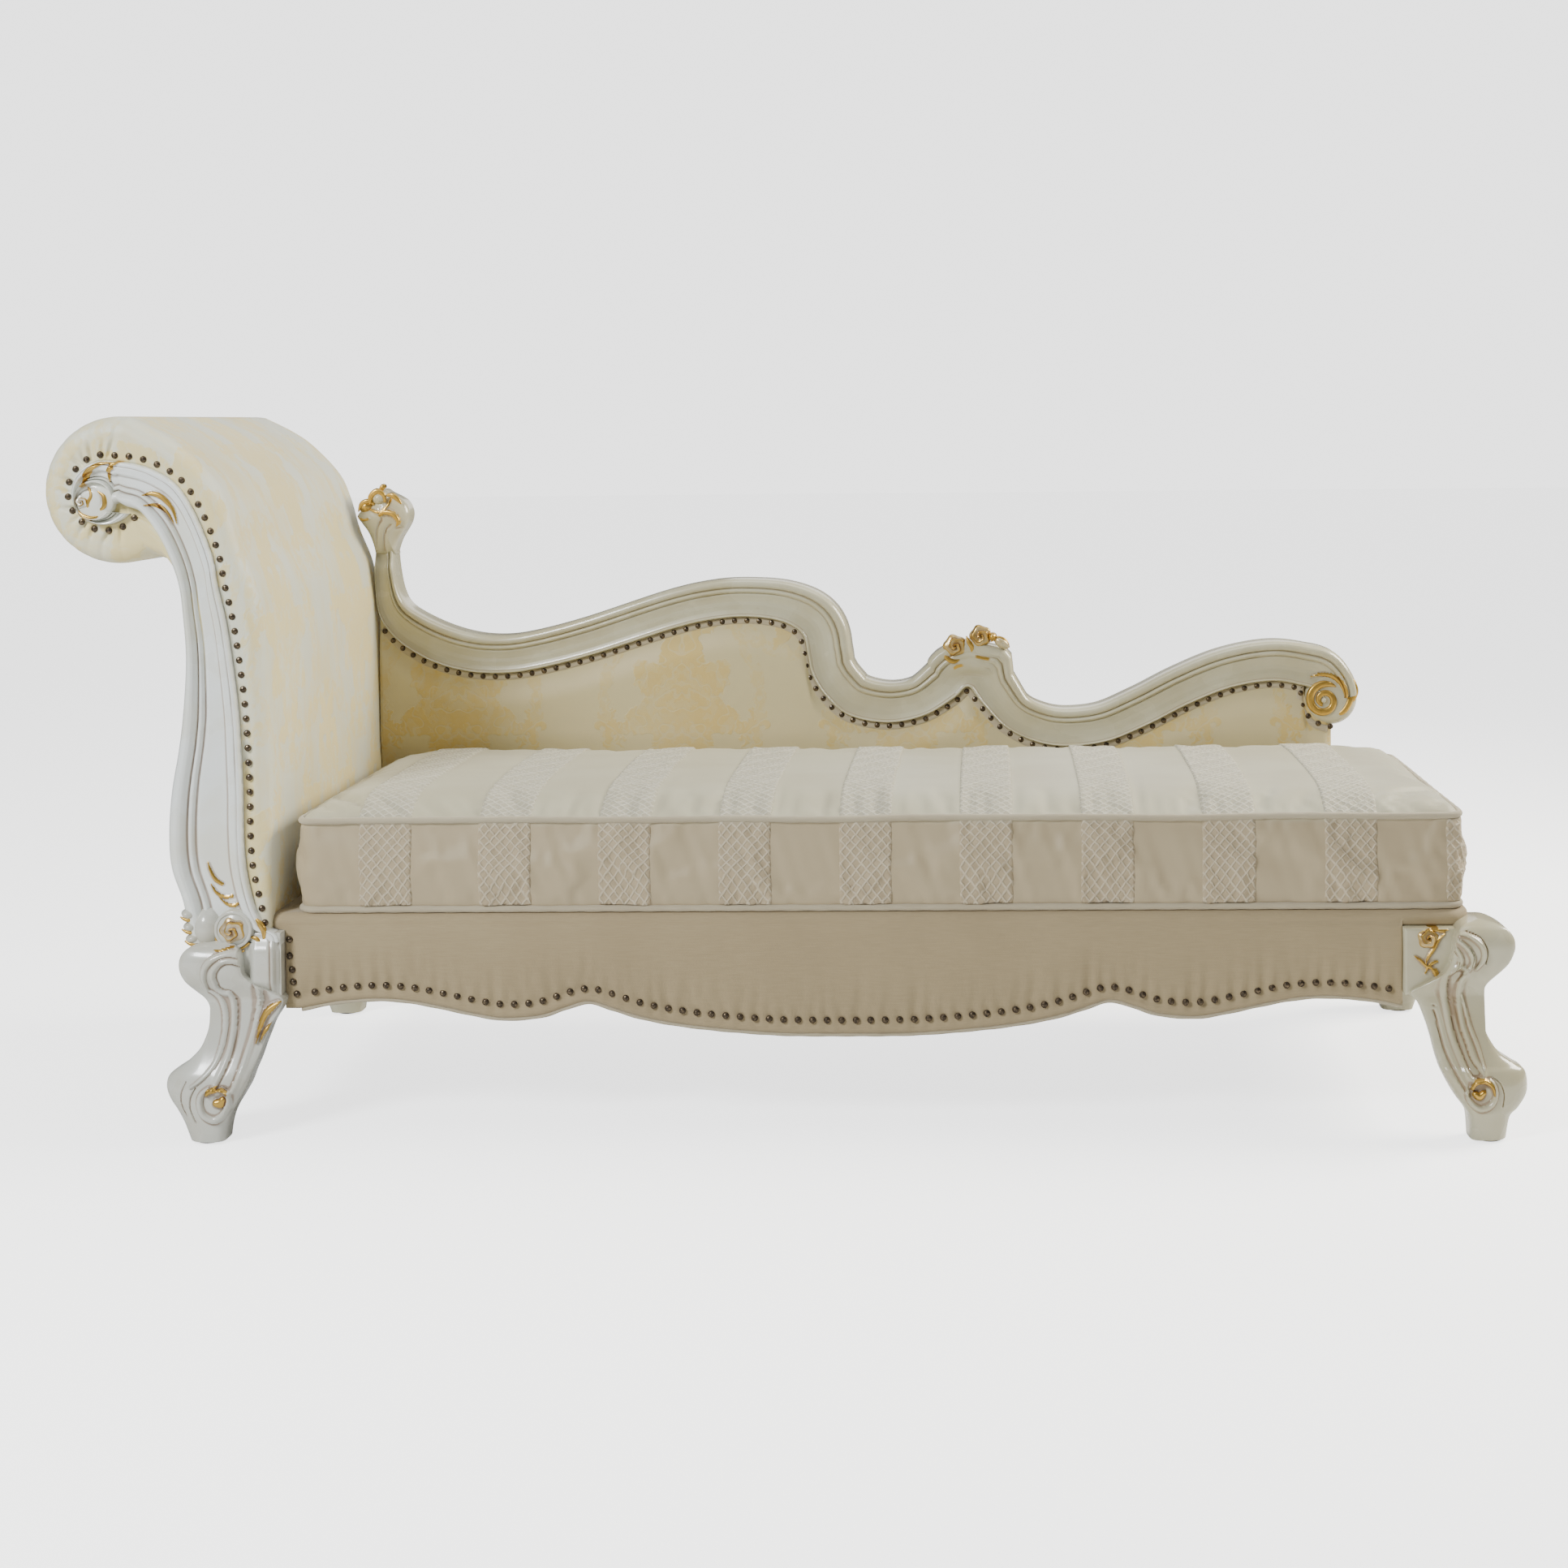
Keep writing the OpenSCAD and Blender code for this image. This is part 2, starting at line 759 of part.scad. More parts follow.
module scroll_facing() {
    n = len(facing_l) - 1;
    color("white")
        union() {
            loft([for (i = [0:n])
                let (
                    a = i == 0 ? [facing_l[0].x, z_block + gap] : facing_l[i],
                    b = i == 0 ? [facing_r[0].x, z_block + gap] : facing_r[i],
                    w = norm(b - a),
                    u = (b - a) / w,
                    s = min(1, w / 66))
                concat(
                    [for (p = bead_side)
                        let (q = a + u * p.x * s) [q.x, y_facing - facing_t * p.y, q.y]],
                    [for (p = border_side)
                        let (q = b - u * p.x * s) [q.x, y_facing - facing_t * p.y, q.y]],
                    [[b.x, y_facing - gap, b.y], [a.x, y_facing - gap, a.y]])]);
            volute_disc();
        }
}

// Middle of the volute's eye from the middle of the volute
eye_at = [-9, -11];

// Round end of the facing with a raised rim and a raised eye
module volute_disc() {
    rim = 13;
    translate([volute_c.x, y_facing - 1, volute_c.y])
        rotate([90, 0, 0]) {
            rotate_extrude()
                polygon([
                    [0, 0], [volute_r, 0], [volute_r, facing_t * 0.6],
                    [volute_r - 3, facing_t * 0.84], [volute_r - rim + 2, facing_t * 0.84],
                    [volute_r - rim, facing_t * 0.45], [0, facing_t * 0.45]]);
            translate([eye_at.x, eye_at.y, 1])
                cylinder(r = volute_r / 2.6, h = facing_t * 0.8);
        }
}

// Layer of five petals
module petals(r, h) {
    linear_extrude(height = h)
        polygon([for (k = [0:39])
            let (a = 9 * k) r * (0.82 + 0.18 * cos(5 * a)) * [cos(a), sin(a)]]);
}

// Rose with two layers of petals and a round heart, its back in the plane at y
module rose(x, y, z, r, h) {
    translate([x, y, z])
        rotate([90, 0, 0]) {
            petals(r, h * 0.4);
            rotate([0, 0, 36])
                petals(r * 0.7, h * 0.7);
            cylinder(r = r * 0.3, h = h);
        }
}

// Low dome with a flat foot
module dome(r, h) {
    steps = 4;
    rotate_extrude()
        polygon(concat(
            [[0, 0]],
            [for (k = [0:steps])
                let (a = 90 * k / steps) [k == steps ? 0 : r * cos(a), h * sin(a)]]));
}

module volute_rose() {
    color("goldenrod")
        rose(
            volute_c.x + eye_at.x, y_facing - facing_t * 0.8 - 2 - gap,
            volute_c.y + eye_at.y,
            rose_r * 0.85, 8);
}

module post_rose() {
    p = head_pt([-48, 0]);
    color("goldenrod")
        rose(
            p.x, y_facing - facing_t * border_proud - gap,
            z_block + rose_r * 0.951 + gap, rose_r, 10);
}

module leg_rose() {
    color("goldenrod")
        rose(
            x_apron_foot + rose_r + 12, y_block_front - gap, z_block - rose_r - 14,
            rose_r, 10);
}

// Back

// Lower edge of the crest rail with its width, drawn from the headrest's foot and the deck
crest_drawn = [
    [-7, 494, 32], [-6, 442, 36], [-2, 394, 46], [14, 360, 56], [45, 330, 62],
    [95, 302, 66], [155, 286, 65], [215, 283, 64], [275, 291, 64], [369, 314, 65],
    [509, 358, 66], [585, 374, 66], [645, 376, 66], [695, 367, 70], [727, 346, 76],
    [736, 310, 76], [743, 277, 75], [765, 241, 74], [805, 207, 72], [871, 194, 69],
    [935, 206, 67], [985, 235, 74], [1009, 254, 80], [1030, 230, 74], [1070, 187, 65],
    [1120, 161, 65], [1175, 152, 65], [1245, 160, 65], [1315, 188, 66], [1385, 223, 66],
    [1455, 250, 67], [1525, 261, 69], [1578, 253, 71], [1597, 246, 72], [1609, 236, 64],
    [1613, 224, 58]
];
drawn_back_l = 1628;
crest_steps = 2;
crest_path = curve(
    [for (p = crest_drawn)
        [x_head + p.x * back_l / drawn_back_l, deck_z + p.y, p.z]], crest_steps);
crest_edge = [for (p = crest_path) [p.x, p.y]];
crest_end_c = [x_back_end - 2, deck_z + 235];
// Where the panel runs round the end volute
end_a0 = 172;
end_a1 = 268;
// The last points of the crest's edge lie inside the volute
crest_free = len(crest_edge) - 1 - 3 * crest_steps;
crest_free_edge = [for (i = [0:crest_free]) crest_edge[i]];
// The end volute stands this much in front of the rail's mouldings
crest_proud = 1;
post_places = [0.06, 0.33, 0.68, 0.93];

function crest_z(x) = lookup(x, crest_edge);

// Outline of the back panel under the crest rail, kept clear of the wood by a margin
function back_outline(margin, z0) =
    let (
        under = [for (i = [2 * crest_steps:crest_free]) crest_edge[i]],
        edge = shifted(under, -margin))
    concat(
        [[x_head + 2 * gap, z0]],
        [for (p = edge) [max(p.x, head_face_x(p.y) + 2 * gap), p.y]],
        arc(crest_end_c, end_volute_r + margin, end_a0, end_a1, 10),
        [[x_back_end, z0]]);

head_face = [for (p = reversed(curve([for (p = inner_drawn) head_pt(p)], 2))) [p.y, p.x]];

// Place of the headrest's inner face at a height
function head_face_x(z) = lookup(z, head_face);

// Crest mouldings: share of the width from the lower edge, share of the lip
crest_profile = [
    [0, 0.3], [0.03, 0.8], [0.08, 0.6], [0.2, 0.3], [0.4, 0.25], [0.55, 0.5],
    [0.61, 0.95], [0.68, 0.95], [0.72, 0.5], [0.78, 0.9], [0.88, 1], [0.96, 0.7], [1, 0]
];

module crest_rail() {
    y_back = y_panel - crest_lip + crest_t;
    n = len(crest_path) - 1;
    color("white")
        union() {
            loft([for (i = [0:n])
                let (s = side(crest_path, i), w = crest_path[i].z, o = crest_edge[i])
                concat(
                    [for (f = [0, 1])
                        let (q = o + s * w * f) [q.x, y_back, q.y]],
                    [for (p = reversed(crest_profile))
                        let (q = o + s * w * p.x)
                        [q.x, y_panel - gap - (crest_lip - crest_proud) * p.y, q.y]])]);
            translate([crest_end_c.x, y_back - 1, crest_end_c.y])
                rotate([90, 0, 0])
                    cylinder(r = end_volute_r, h = crest_t - 1);
        }
}

module crest_volute() {
    color("goldenrod")
        translate([crest_end_c.x, y_panel - crest_lip - gap, crest_end_c.y])
            rotate([90, 0, 0]) {
                difference() {
                    cylinder(r = end_volute_r * 0.66, h = 6);
                    translate([3, 3, 2])
                        cylinder(r = end_volute_r * 0.46, h = 6);
                }
                dome(end_volute_r * 0.3, 9);
            }
}

finial_drawn = [
    [-7, 495], [-15, 520], [-30, 541], [-36, 554], [-18, 567], [-7, 588], [3, 603],
    [19, 590], [43, 578], [52, 562], [47, 534], [33, 514], [25, 495]
];
finial_t = 30;

module crest_finial() {
    y_mid = y_panel - crest_lip + crest_t / 2;
    color("goldenrod")
        board(
            [for (q = curve([for (p = finial_drawn)
                [x_head + p.x, deck_z + max(p.y, crest_drawn[0].y + gap)]], 2))
                [max(q.x, head_face_x(q.y) + 2 * gap), q.y]],
            y_mid - finial_t / 2, y_mid + finial_t / 2);
}

module crest_roses() {
    color("goldenrod")
        for (p = [[981, 318, 1], [1021, 334, 0.95], [1058, 313, 0.75]])
            rose(
                x_head + p.x * back_l / drawn_back_l,
                y_panel - crest_lip + crest_proud - gap,
                deck_z + p.y, rose_r * p.z, 10);
}

module back_posts() {
    color("burlywood")
        for (f = post_places) {
            x0 = x_head + f * back_l - post_w / 2;
            board(
                concat(
                    [[x0, z_rail]],
                    [for (k = [0:6])
                        let (x = x0 + post_w * k / 6) [x, crest_z(x) - 2 * gap]],
                    [[x0 + post_w, z_rail]]),
                y_post, y_post + post_t);
        }
}

module back_burlap() {
    color("peru")
        board(back_outline(gap, deck_z + gap), y_post - burlap, y_post);
}

module back_padding() {
    color("ivory")
        board(
            back_outline(gap, deck_z + gap),
            y_panel + fabric, y_panel + fabric + back_pad_t);
}

module back_cover() {
    color("ivory")
        board(back_outline(gap, deck_z + gap), y_panel, y_panel + fabric);
}

module outside_back_cover() {
    color("wheat")
        board(
            back_outline(gap, deck_z + gap), y_rear - fabric, y_rear);
}

// Nails

module nail(x, y, z) {
    translate([x, y, z])
        rotate([90, 0, 0])
            dome(nail_r, nail_h);
}

nail_in = nail_r + 1;
hem_margin = 20;

module apron_nails() {
    line = [for (p = shifted(apron_edge, hem_margin))
        if (p.x > x_apron_head + 2 * nail_r && p.x < x_apron_foot - 2 * nail_r) p];
    color("darkgoldenrod")
        for (p = stepped(line, nail_pitch))
            nail(p.x, y_front, p.y);
}

module facing_nails() {
    border = nail_r + 4;
    line = concat(
        shifted(facing_r, -border),
        arc(volute_c, volute_r + border, volute_a0, volute_a1, 24));
    color("darkgoldenrod")
        for (p = stepped([for (q = line) if (q.y > z_block + 2 * nail_r) q], nail_pitch))
            nail(p.x, -y_head, p.y);
}

module crest_nails() {
    edge = shifted(crest_free_edge, -nail_in);
    line = concat(
        [for (i = [3 * crest_steps:crest_free], p = [edge[i]])
            if (p.x > head_face_x(p.y) + 2 * nail_r) p],
        arc(crest_end_c, end_volute_r + nail_in, end_a0, end_a1, 10));
    color("darkgoldenrod")
        for (p = stepped(line, nail_pitch))
            nail(p.x, y_panel, p.y);
}

// Cushion

cushion_x0 = x_head + 34;
cushion_x1 = x_end - bulge - 2;
cushion_y0 = y_front + bulge + 2;
cushion_y1 = y_panel - bulge - gap - 3;
cushion_r = 24;
cushion_z = deck_z + gap;
rabbet = 2 * welt_r + 2 * gap;

// X places of the quilted bands' edges, with a short slope at each edge
band_pitch = (cushion_x1 - cushion_x0 - 60 - band_w) / (band_count - 1);
band_slope = 4;
band_marks = [for (i = [0:band_count - 1])
    let (x = cushion_x0 + 30 + i * band_pitch)
    each [[x, 0], [x + band_slope, 1], [x + band_w - band_slope, 1], [x + band_w, 0]]];

// Plan ring of the cushion drawn in by dx and dy at height z, where banded points rise
function cushion_ring(dx, dy, z, rise, marks) =
    let (
        x0 = cushion_x0 + dx,
        x1 = cushion_x1 - dx,
        y0 = cushion_y0 + dy,
        y1 = cushion_y1 - dy,
        r = max(cushion_r - max(dx, dy, 0), 3))
    concat(
        [for (p = arc([x0 + r, y0 + r], r, 180, 270, 3)) [p.x, p.y, z]],
        [for (m = marks) [m.x, y0, z + rise * m.y]],
        [for (p = arc([x1 - r, y0 + r], r, 270, 360, 3)) [p.x, p.y, z]],
        [for (p = arc([x1 - r, y1 - r], r, 0, 90, 3)) [p.x, p.y, z]],
        [for (m = reversed(marks)) [m.x, y1, z + rise * m.y]],
        [for (p = arc([x0 + r, y1 - r], r, 90, 180, 3)) [p.x, p.y, z]]);

// Closed cushion form drawn in by a thickness, with its welt rabbets when they are wanted
module cushion_form(inset, notch, marks, rise) {
    z0 = cushion_z + inset;
    z1 = cushion_z + cushion_t - inset;
    half = (cushion_y1 - cushion_y0) / 2;
    loft([
        cushion_ring(inset + notch, inset + notch, z0, 0, marks),
        cushion_ring(inset + notch, inset + notch, z0 + rabbet, 0, marks),
        cushion_ring(inset, inset, z0 + rabbet + 0.1, 0, marks),
        cushion_ring(inset - bulge, inset - bulge, (z0 + z1) / 2, 0, marks),
        cushion_ring(inset, inset, z1 - rabbet - 0.1, 0, marks),
        cushion_ring(inset + notch, inset + notch, z1 - rabbet, 0, marks),
        cushion_ring(inset + notch, inset + notch, z1, 0, marks),
        cushion_ring(inset + 22, inset + 60, z1 + crown * 0.6, rise, marks),
        cushion_ring(inset + 26, inset + 160, z1 + crown * 0.93, rise, marks),
        cushion_ring(inset + 27, half - 20, z1 + crown, rise, marks)
    ], strips = true);
}

plain_marks = [for (f = [0.1, 0.9])
    [cushion_x0 + f * (cushion_x1 - cushion_x0), 0]];

module cushion_cover() {
    color("antiquewhite")
        difference() {
            cushion_form(0, rabbet, band_marks, band_rise);
            cushion_form(fabric, rabbet, plain_marks, 0);
        }
}

module cushion_core() {
    color("ivory")
        cushion_form(fabric + gap, rabbet, plain_marks, 0);
}

// Closed cord round the cushion with its middle at height z
module welt(z) {
    d = welt_r + gap;
    x0 = cushion_x0 + d;
    x1 = cushion_x1 - d;
    y0 = cushion_y0 + d;
    y1 = cushion_y1 - d;
    r = cushion_r - d;
    for (c = [
        [x0 + r, y0 + r, 180], [x1 - r, y0 + r, 270], [x1 - r, y1 - r, 0],
        [x0 + r, y1 - r, 90]])
        translate([c.x, c.y, z])
            rotate([0, 0, c.z])
                rotate_extrude(angle = 90)
                    translate([r, 0])
                        circle(r = welt_r);
    for (y = [y0, y1])
        translate([x0 + r, y, z])
            rotate([0, 90, 0])
                cylinder(r = welt_r, h = x1 - x0 - 2 * r);
    for (x = [x0, x1])
        translate([x, y0 + r, z])
            rotate([-90, 0, 0])
                cylinder(r = welt_r, h = y1 - y0 - 2 * r);
}

module cushion_welts() {
    color("linen") {
        welt(cushion_z + welt_r + gap);
        welt(cushion_z + cushion_t - welt_r - gap);
    }
}

front_rail();
rear_rail();
head_rail();
foot_rail();
cross_stretchers();
corner_braces();
leg_bolts();
seat_webbing();
deck_padding();
deck_cover();
apron_cover();
apron_hem_welt();
rear_apron_cover();
foot_end_cover();
head_end_cover();
dust_cover();
front_head_leg();
front_foot_leg();
rear_head_leg();
rear_foot_leg();
foot_glides();
head_side_boards();
head_slats();
head_lining();
head_padding();
head_cover();
roll_cover();
scroll_facing();
volute_rose();
post_rose();
leg_rose();
crest_rail();
crest_finial();
crest_roses();
crest_volute();
back_posts();
back_burlap();
back_padding();
back_cover();
outside_back_cover();
apron_nails();
facing_nails();
crest_nails();
cushion_core();
cushion_cover();
cushion_welts();
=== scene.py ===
# %% [markdown]
# # A carved and upholstered chaise longue
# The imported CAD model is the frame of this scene: every node lies where the real part lies.
# The cells below lay finer surfaces over it. Carved wood is a moulding profile carried along
# a drawn line, with ornament pressed in by distance from drawn strokes. Fabric is a grid of
# points that swells between its seams. All lengths in the drawing lists are millimetres,
# read from the front: X runs from the headrest to the foot end, Z runs up.

import bmesh
import bpy
import numpy as np
from mathutils import Matrix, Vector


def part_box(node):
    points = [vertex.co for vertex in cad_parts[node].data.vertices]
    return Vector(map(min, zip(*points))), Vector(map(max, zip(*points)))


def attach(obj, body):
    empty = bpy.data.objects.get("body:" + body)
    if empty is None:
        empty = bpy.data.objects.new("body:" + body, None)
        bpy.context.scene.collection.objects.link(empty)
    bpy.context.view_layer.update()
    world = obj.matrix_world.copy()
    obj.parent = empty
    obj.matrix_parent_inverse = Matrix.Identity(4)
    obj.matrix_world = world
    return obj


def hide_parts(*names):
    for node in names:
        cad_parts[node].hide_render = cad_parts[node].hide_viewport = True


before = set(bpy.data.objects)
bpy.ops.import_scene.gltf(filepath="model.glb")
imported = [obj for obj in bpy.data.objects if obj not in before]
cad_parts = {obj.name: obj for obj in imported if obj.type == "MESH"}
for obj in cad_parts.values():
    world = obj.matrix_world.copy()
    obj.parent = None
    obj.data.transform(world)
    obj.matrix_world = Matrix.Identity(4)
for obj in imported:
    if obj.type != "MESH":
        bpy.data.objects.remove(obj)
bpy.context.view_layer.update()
MM = 0.001

# %% [markdown]
# ## A small language for finishes
# A finish is a material whose colour, gloss and relief vary over the surface. Wiring nodes by
# hand hides the idea, so sums and products of a socket are written as plain arithmetic here.
# Each operator adds one Math node. Colours are mixed by Mix nodes, because a Math node would
# turn them grey.


# %% Values that vary over a surface
class Value:
    """A varying number or colour: one output socket, with the usual operators."""

    def __init__(self, finish, socket):
        self.finish = finish
        self.socket = socket

    def math(self, operation, *others):
        inputs = dict(enumerate((self,) + others))
        return self.finish.node("ShaderNodeMath", {"operation": operation}, inputs)

    def __add__(self, other):
        return self.math("ADD", other)

    def __sub__(self, other):
        return self.math("SUBTRACT", other)

    def __rsub__(self, other):
        return self.finish.number(other).math("SUBTRACT", self)

    def __mul__(self, other):
        return self.math("MULTIPLY", other)

    def __truediv__(self, other):
        return self.math("DIVIDE", other)

    def __abs__(self):
        return self.math("ABSOLUTE")

    __radd__ = __add__

    def step(self, low, high):
        """0 below low, 1 above high, and a smooth slope between them."""
        return self.finish.node(
            "ShaderNodeMapRange",
            {"interpolation_type": "SMOOTHSTEP"},
            {0: self, 1: low, 2: high},
        )


class Finish:
    """A material with one Principled shader, its constants set on the shader's own sockets."""

    def __init__(self, name, constants):
        self.material = bpy.data.materials.new(name)
        self.material.use_nodes = True
        self.tree = self.material.node_tree
        self.shader = self.tree.nodes["Principled BSDF"]
        for key, value in constants.items():
            self.shader.inputs[key].default_value = value

    def node(self, kind, settings=None, inputs=None, out=0):
        """Add a node, set its settings, then its sockets, and return one output."""
        added = self.tree.nodes.new(kind)
        for key, value in (settings or {}).items():
            setattr(added, key, value)
        for key, value in (inputs or {}).items():
            if isinstance(value, Value):
                self.tree.links.new(value.socket, added.inputs[key])
            else:
                added.inputs[key].default_value = value
        return Value(self, added.outputs[out])

    def number(self, value):
        made = self.node("ShaderNodeValue")
        made.socket.default_value = value
        return made

    def point(self):
        """The shaded point in the object's own coordinates, in metres."""
        return self.node("ShaderNodeTexCoord", out="Object")

    def split(self, vector, count=3):
        """The first coordinates of a vector, one by one."""
        return [self.node("ShaderNodeSeparateXYZ", None, {0: vector}, k) for k in range(count)]

    def vector(self, x, y, z=0.0):
        return self.node("ShaderNodeCombineXYZ", None, {0: x, 1: y, 2: z})

    def noise(self, at, scale, detail=3.0, roughness=0.55):
        return self.node(
            "ShaderNodeTexNoise",
            None,
            {"Vector": at, "Scale": scale, "Detail": detail, "Roughness": roughness},
        )

    def attribute(self, name):
        return self.node("ShaderNodeAttribute", {"attribute_name": name}, None, "Fac")

    def mix(self, a, b, share):
        """Colour a where share is 0 and colour b where it is 1. Sockets 6 and 7 are the two
        colours of a Mix node, and 2 is the mixed colour it gives."""
        return self.node("ShaderNodeMix", {"data_type": "RGBA"}, {0: share, 6: a, 7: b}, 2)

    def feed(self, socket, value):
        self.tree.links.new(value.socket, self.shader.inputs[socket])

    def relief(self, height, distance, strength=1.0):
        """Bump the surface by a height map; distance is the real height in metres."""
        bump = self.node(
            "ShaderNodeBump", None, {"Height": height, "Distance": distance, "Strength": strength}
        )
        self.feed("Normal", bump)


print("the language for finishes is ready")

# %% [markdown]
# ## Painted and gilded carving
# The wood is lacquered in a warm white with a pearl coat, and brown wax is left in the
# hollows. Where wax gathers follows from the shape, so each carved piece carries an attribute
# called hollow: how far its surface lies under its surroundings, in millimetres. The finish
# only has to turn that number into colour. A second attribute, gilded, says where the gold is,
# and hollow darkens it. The white is made in three copies with light and shade painted into
# their colours: the facing is painted brightest, as lit, the head end leg cooler and darker,
# and the crest rail and the foot end leg warmer and darker still, as painted shade.

# %% Finishes for the carving
# Light and shade are painted into these whites: the third pair is the brightest, for the facing
# as lit, and the first two are darker, as painted shade.
PAINTED_WARM_SHADE_WHITES = ((0.48, 0.435, 0.28, 1), (0.54, 0.51, 0.36, 1))
PAINTED_COOL_SHADE_WHITES = ((0.53, 0.50, 0.40, 1), (0.60, 0.60, 0.53, 1))
PAINTED_LIGHT_WHITES = ((0.78, 0.775, 0.67, 1), (0.84, 0.87, 0.84, 1))
WAX = (0.24, 0.12, 0.05, 1)
GOLD = (0.58, 0.36, 0.075, 1)
GOLD_DARK = (0.15, 0.065, 0.015, 1)
BRONZE = (0.055, 0.04, 0.026, 1)
BRASS = (0.19, 0.14, 0.085, 1)


def painted_wood(name, whites):
    """Pearl lacquer: two whites mottled by slow noise, browned in hollows from 0.1 to 1 mm deep,
    and gold where the attribute gilded is above a half, darkened by the same hollows."""
    finish = Finish(name, {"Coat Roughness": 0.12, "Coat IOR": 1.6})
    point = finish.point()
    slow = finish.noise(point, 9.0)
    fine = finish.noise(point, 160.0)
    patches = finish.noise(point, 90.0)
    hollow = finish.attribute("hollow")
    wax = (hollow + (fine - 0.5) * 0.2).step(0.12, 1.0)
    gold = (finish.attribute("gilded") + (patches - 0.5) * 0.3).step(0.35, 0.6)
    dark = (hollow * 1.2 + patches * 0.9).step(0.27, 0.9)
    # The whites passed in already hold this copy's painted light and shade.
    paint = finish.mix(finish.mix(*whites, slow.step(0.35, 0.65)), WAX, wax * 0.62)
    metal = finish.mix(GOLD, GOLD_DARK, dark)
    finish.feed("Base Color", finish.mix(paint, metal, gold))
    finish.feed("Metallic", gold * (0.9 - dark * 0.5))
    finish.feed("Coat Weight", 0.6 - gold * 0.4)
    finish.feed("Roughness", wax * 0.3 + slow * 0.1 + 0.22 + gold * (patches * 0.15))
    finish.relief(slow * 0.6 + fine * 0.08, 0.0012, 0.35)
    return finish.material


def brass_nail_finish(name):
    """Antique brass: dark bronze with brighter rubbed spots."""
    finish = Finish(name, {"Coat Weight": 0.15})
    point = finish.point()
    rubbed = finish.noise(point, 260.0).step(0.42, 0.7)
    finish.feed("Base Color", finish.mix(BRONZE, BRASS, rubbed))
    finish.feed("Metallic", 0.8 + rubbed * 0.15)
    finish.feed("Roughness", 0.4 - rubbed * 0.14)
    finish.relief(finish.noise(point, 900.0), 0.0004, 0.3)
    return finish.material


# Three copies of one paint that differ only by painted light and shade.
pearl = painted_wood("pearl_painted_warm_shade", PAINTED_WARM_SHADE_WHITES)
painted_cool_shade_lacquer = painted_wood("pearl_painted_cool_shade", PAINTED_COOL_SHADE_WHITES)
painted_light_lacquer = painted_wood("pearl_painted_light", PAINTED_LIGHT_WHITES)
brass = brass_nail_finish("antique_brass")
print("carving finishes:", pearl.name, painted_cool_shade_lacquer.name, painted_light_lacquer.name, brass.name)

# %% [markdown]
# ## Fabrics
# Four cloths cover the chaise longue. A golden figured damask covers headrest and back, a
# satin with quilted trellis bands covers the cushion, and a plain linen covers the apron. The
# damask's figure is a traditional medallion in a half-drop lattice. It could be painted, but a
# formula keeps it sharp at any distance: the point is folded into its cell and compared with
# lobed outlines in polar coordinates. The damask reads the cloth's own UV map in metres,
# so the figure follows the cloth round the roll.


# %% The damask's figure
CELL_W = 0.384
CELL_H = 0.56


def lobed(x, y, radius, lobes, depth):
    """1 inside a flower outline: radius * (1 + depth * cos(lobes * angle))."""
    angle = x.math("ARCTAN2", y)
    r = (x * x + y * y).math("SQRT")
    edge = ((angle * lobes).math("COSINE") * depth + 1.0) * radius
    return (edge - r).step(-0.003, 0.003)


def damask_figure(finish, u, v):
    """Share of golden figure at a point of the cloth, from 0 on the ground to 1.

    The point is folded into a half-drop cell. A lobed medallion, a crown and a sprig are torn
    into leaves by noise, and thin pale lines follow one level of a slower noise.
    """
    across = [(u / CELL_W + shift).math("PINGPONG", 0.5) for shift in (0.0, 0.5)]
    along = [(v / CELL_H + shift).math("FRACT") - 0.5 for shift in (0.5, 0.0)]
    first = (across[0] + abs(along[0])).math("LESS_THAN", 0.5)
    x0 = (across[1] + (across[0] - across[1]) * first) * CELL_W
    y0 = (along[1] + (along[0] - along[1]) * first) * CELL_H
    ragged = finish.noise(finish.vector(x0, y0), 55.0, 4.0, 0.6) - 0.5
    torn = finish.noise(finish.vector(y0, x0), 38.0, 2.0) - 0.5
    x = x0 + ragged * 0.034
    y = y0 + torn * 0.034
    body = lobed(x, y * 0.86, 0.086, 7.0, 0.22)
    crown = lobed(x, y - 0.125, 0.046, 5.0, 0.4)
    tail = lobed(x, y + 0.13, 0.040, 5.0, 0.4)
    side = lobed(x - 0.118, y * 0.8 + 0.03, 0.024, 5.0, 0.4)
    leaves = finish.noise(finish.vector(x0, y0 * 0.8), 44.0, 3.0, 0.6).step(0.40, 0.50)
    veins = abs(finish.noise(finish.vector(x0, y0), 26.0, 1.0) - 0.5).step(0.012, 0.03)
    medallion = body * leaves.math("MAXIMUM", 0.7)
    oval = ((x / 0.135) * (x / 0.135) + (y / 0.185) * (y / 0.185)).math("SQRT")
    wreath = (0.075 - abs(oval - 1.0)).step(-0.015, 0.02) * leaves
    figure = medallion.math("MAXIMUM", crown).math("MAXIMUM", tail).math("MAXIMUM", side * leaves)
    return figure.math("MAXIMUM", wreath * 0.6) * (veins * 0.45 + 0.55)


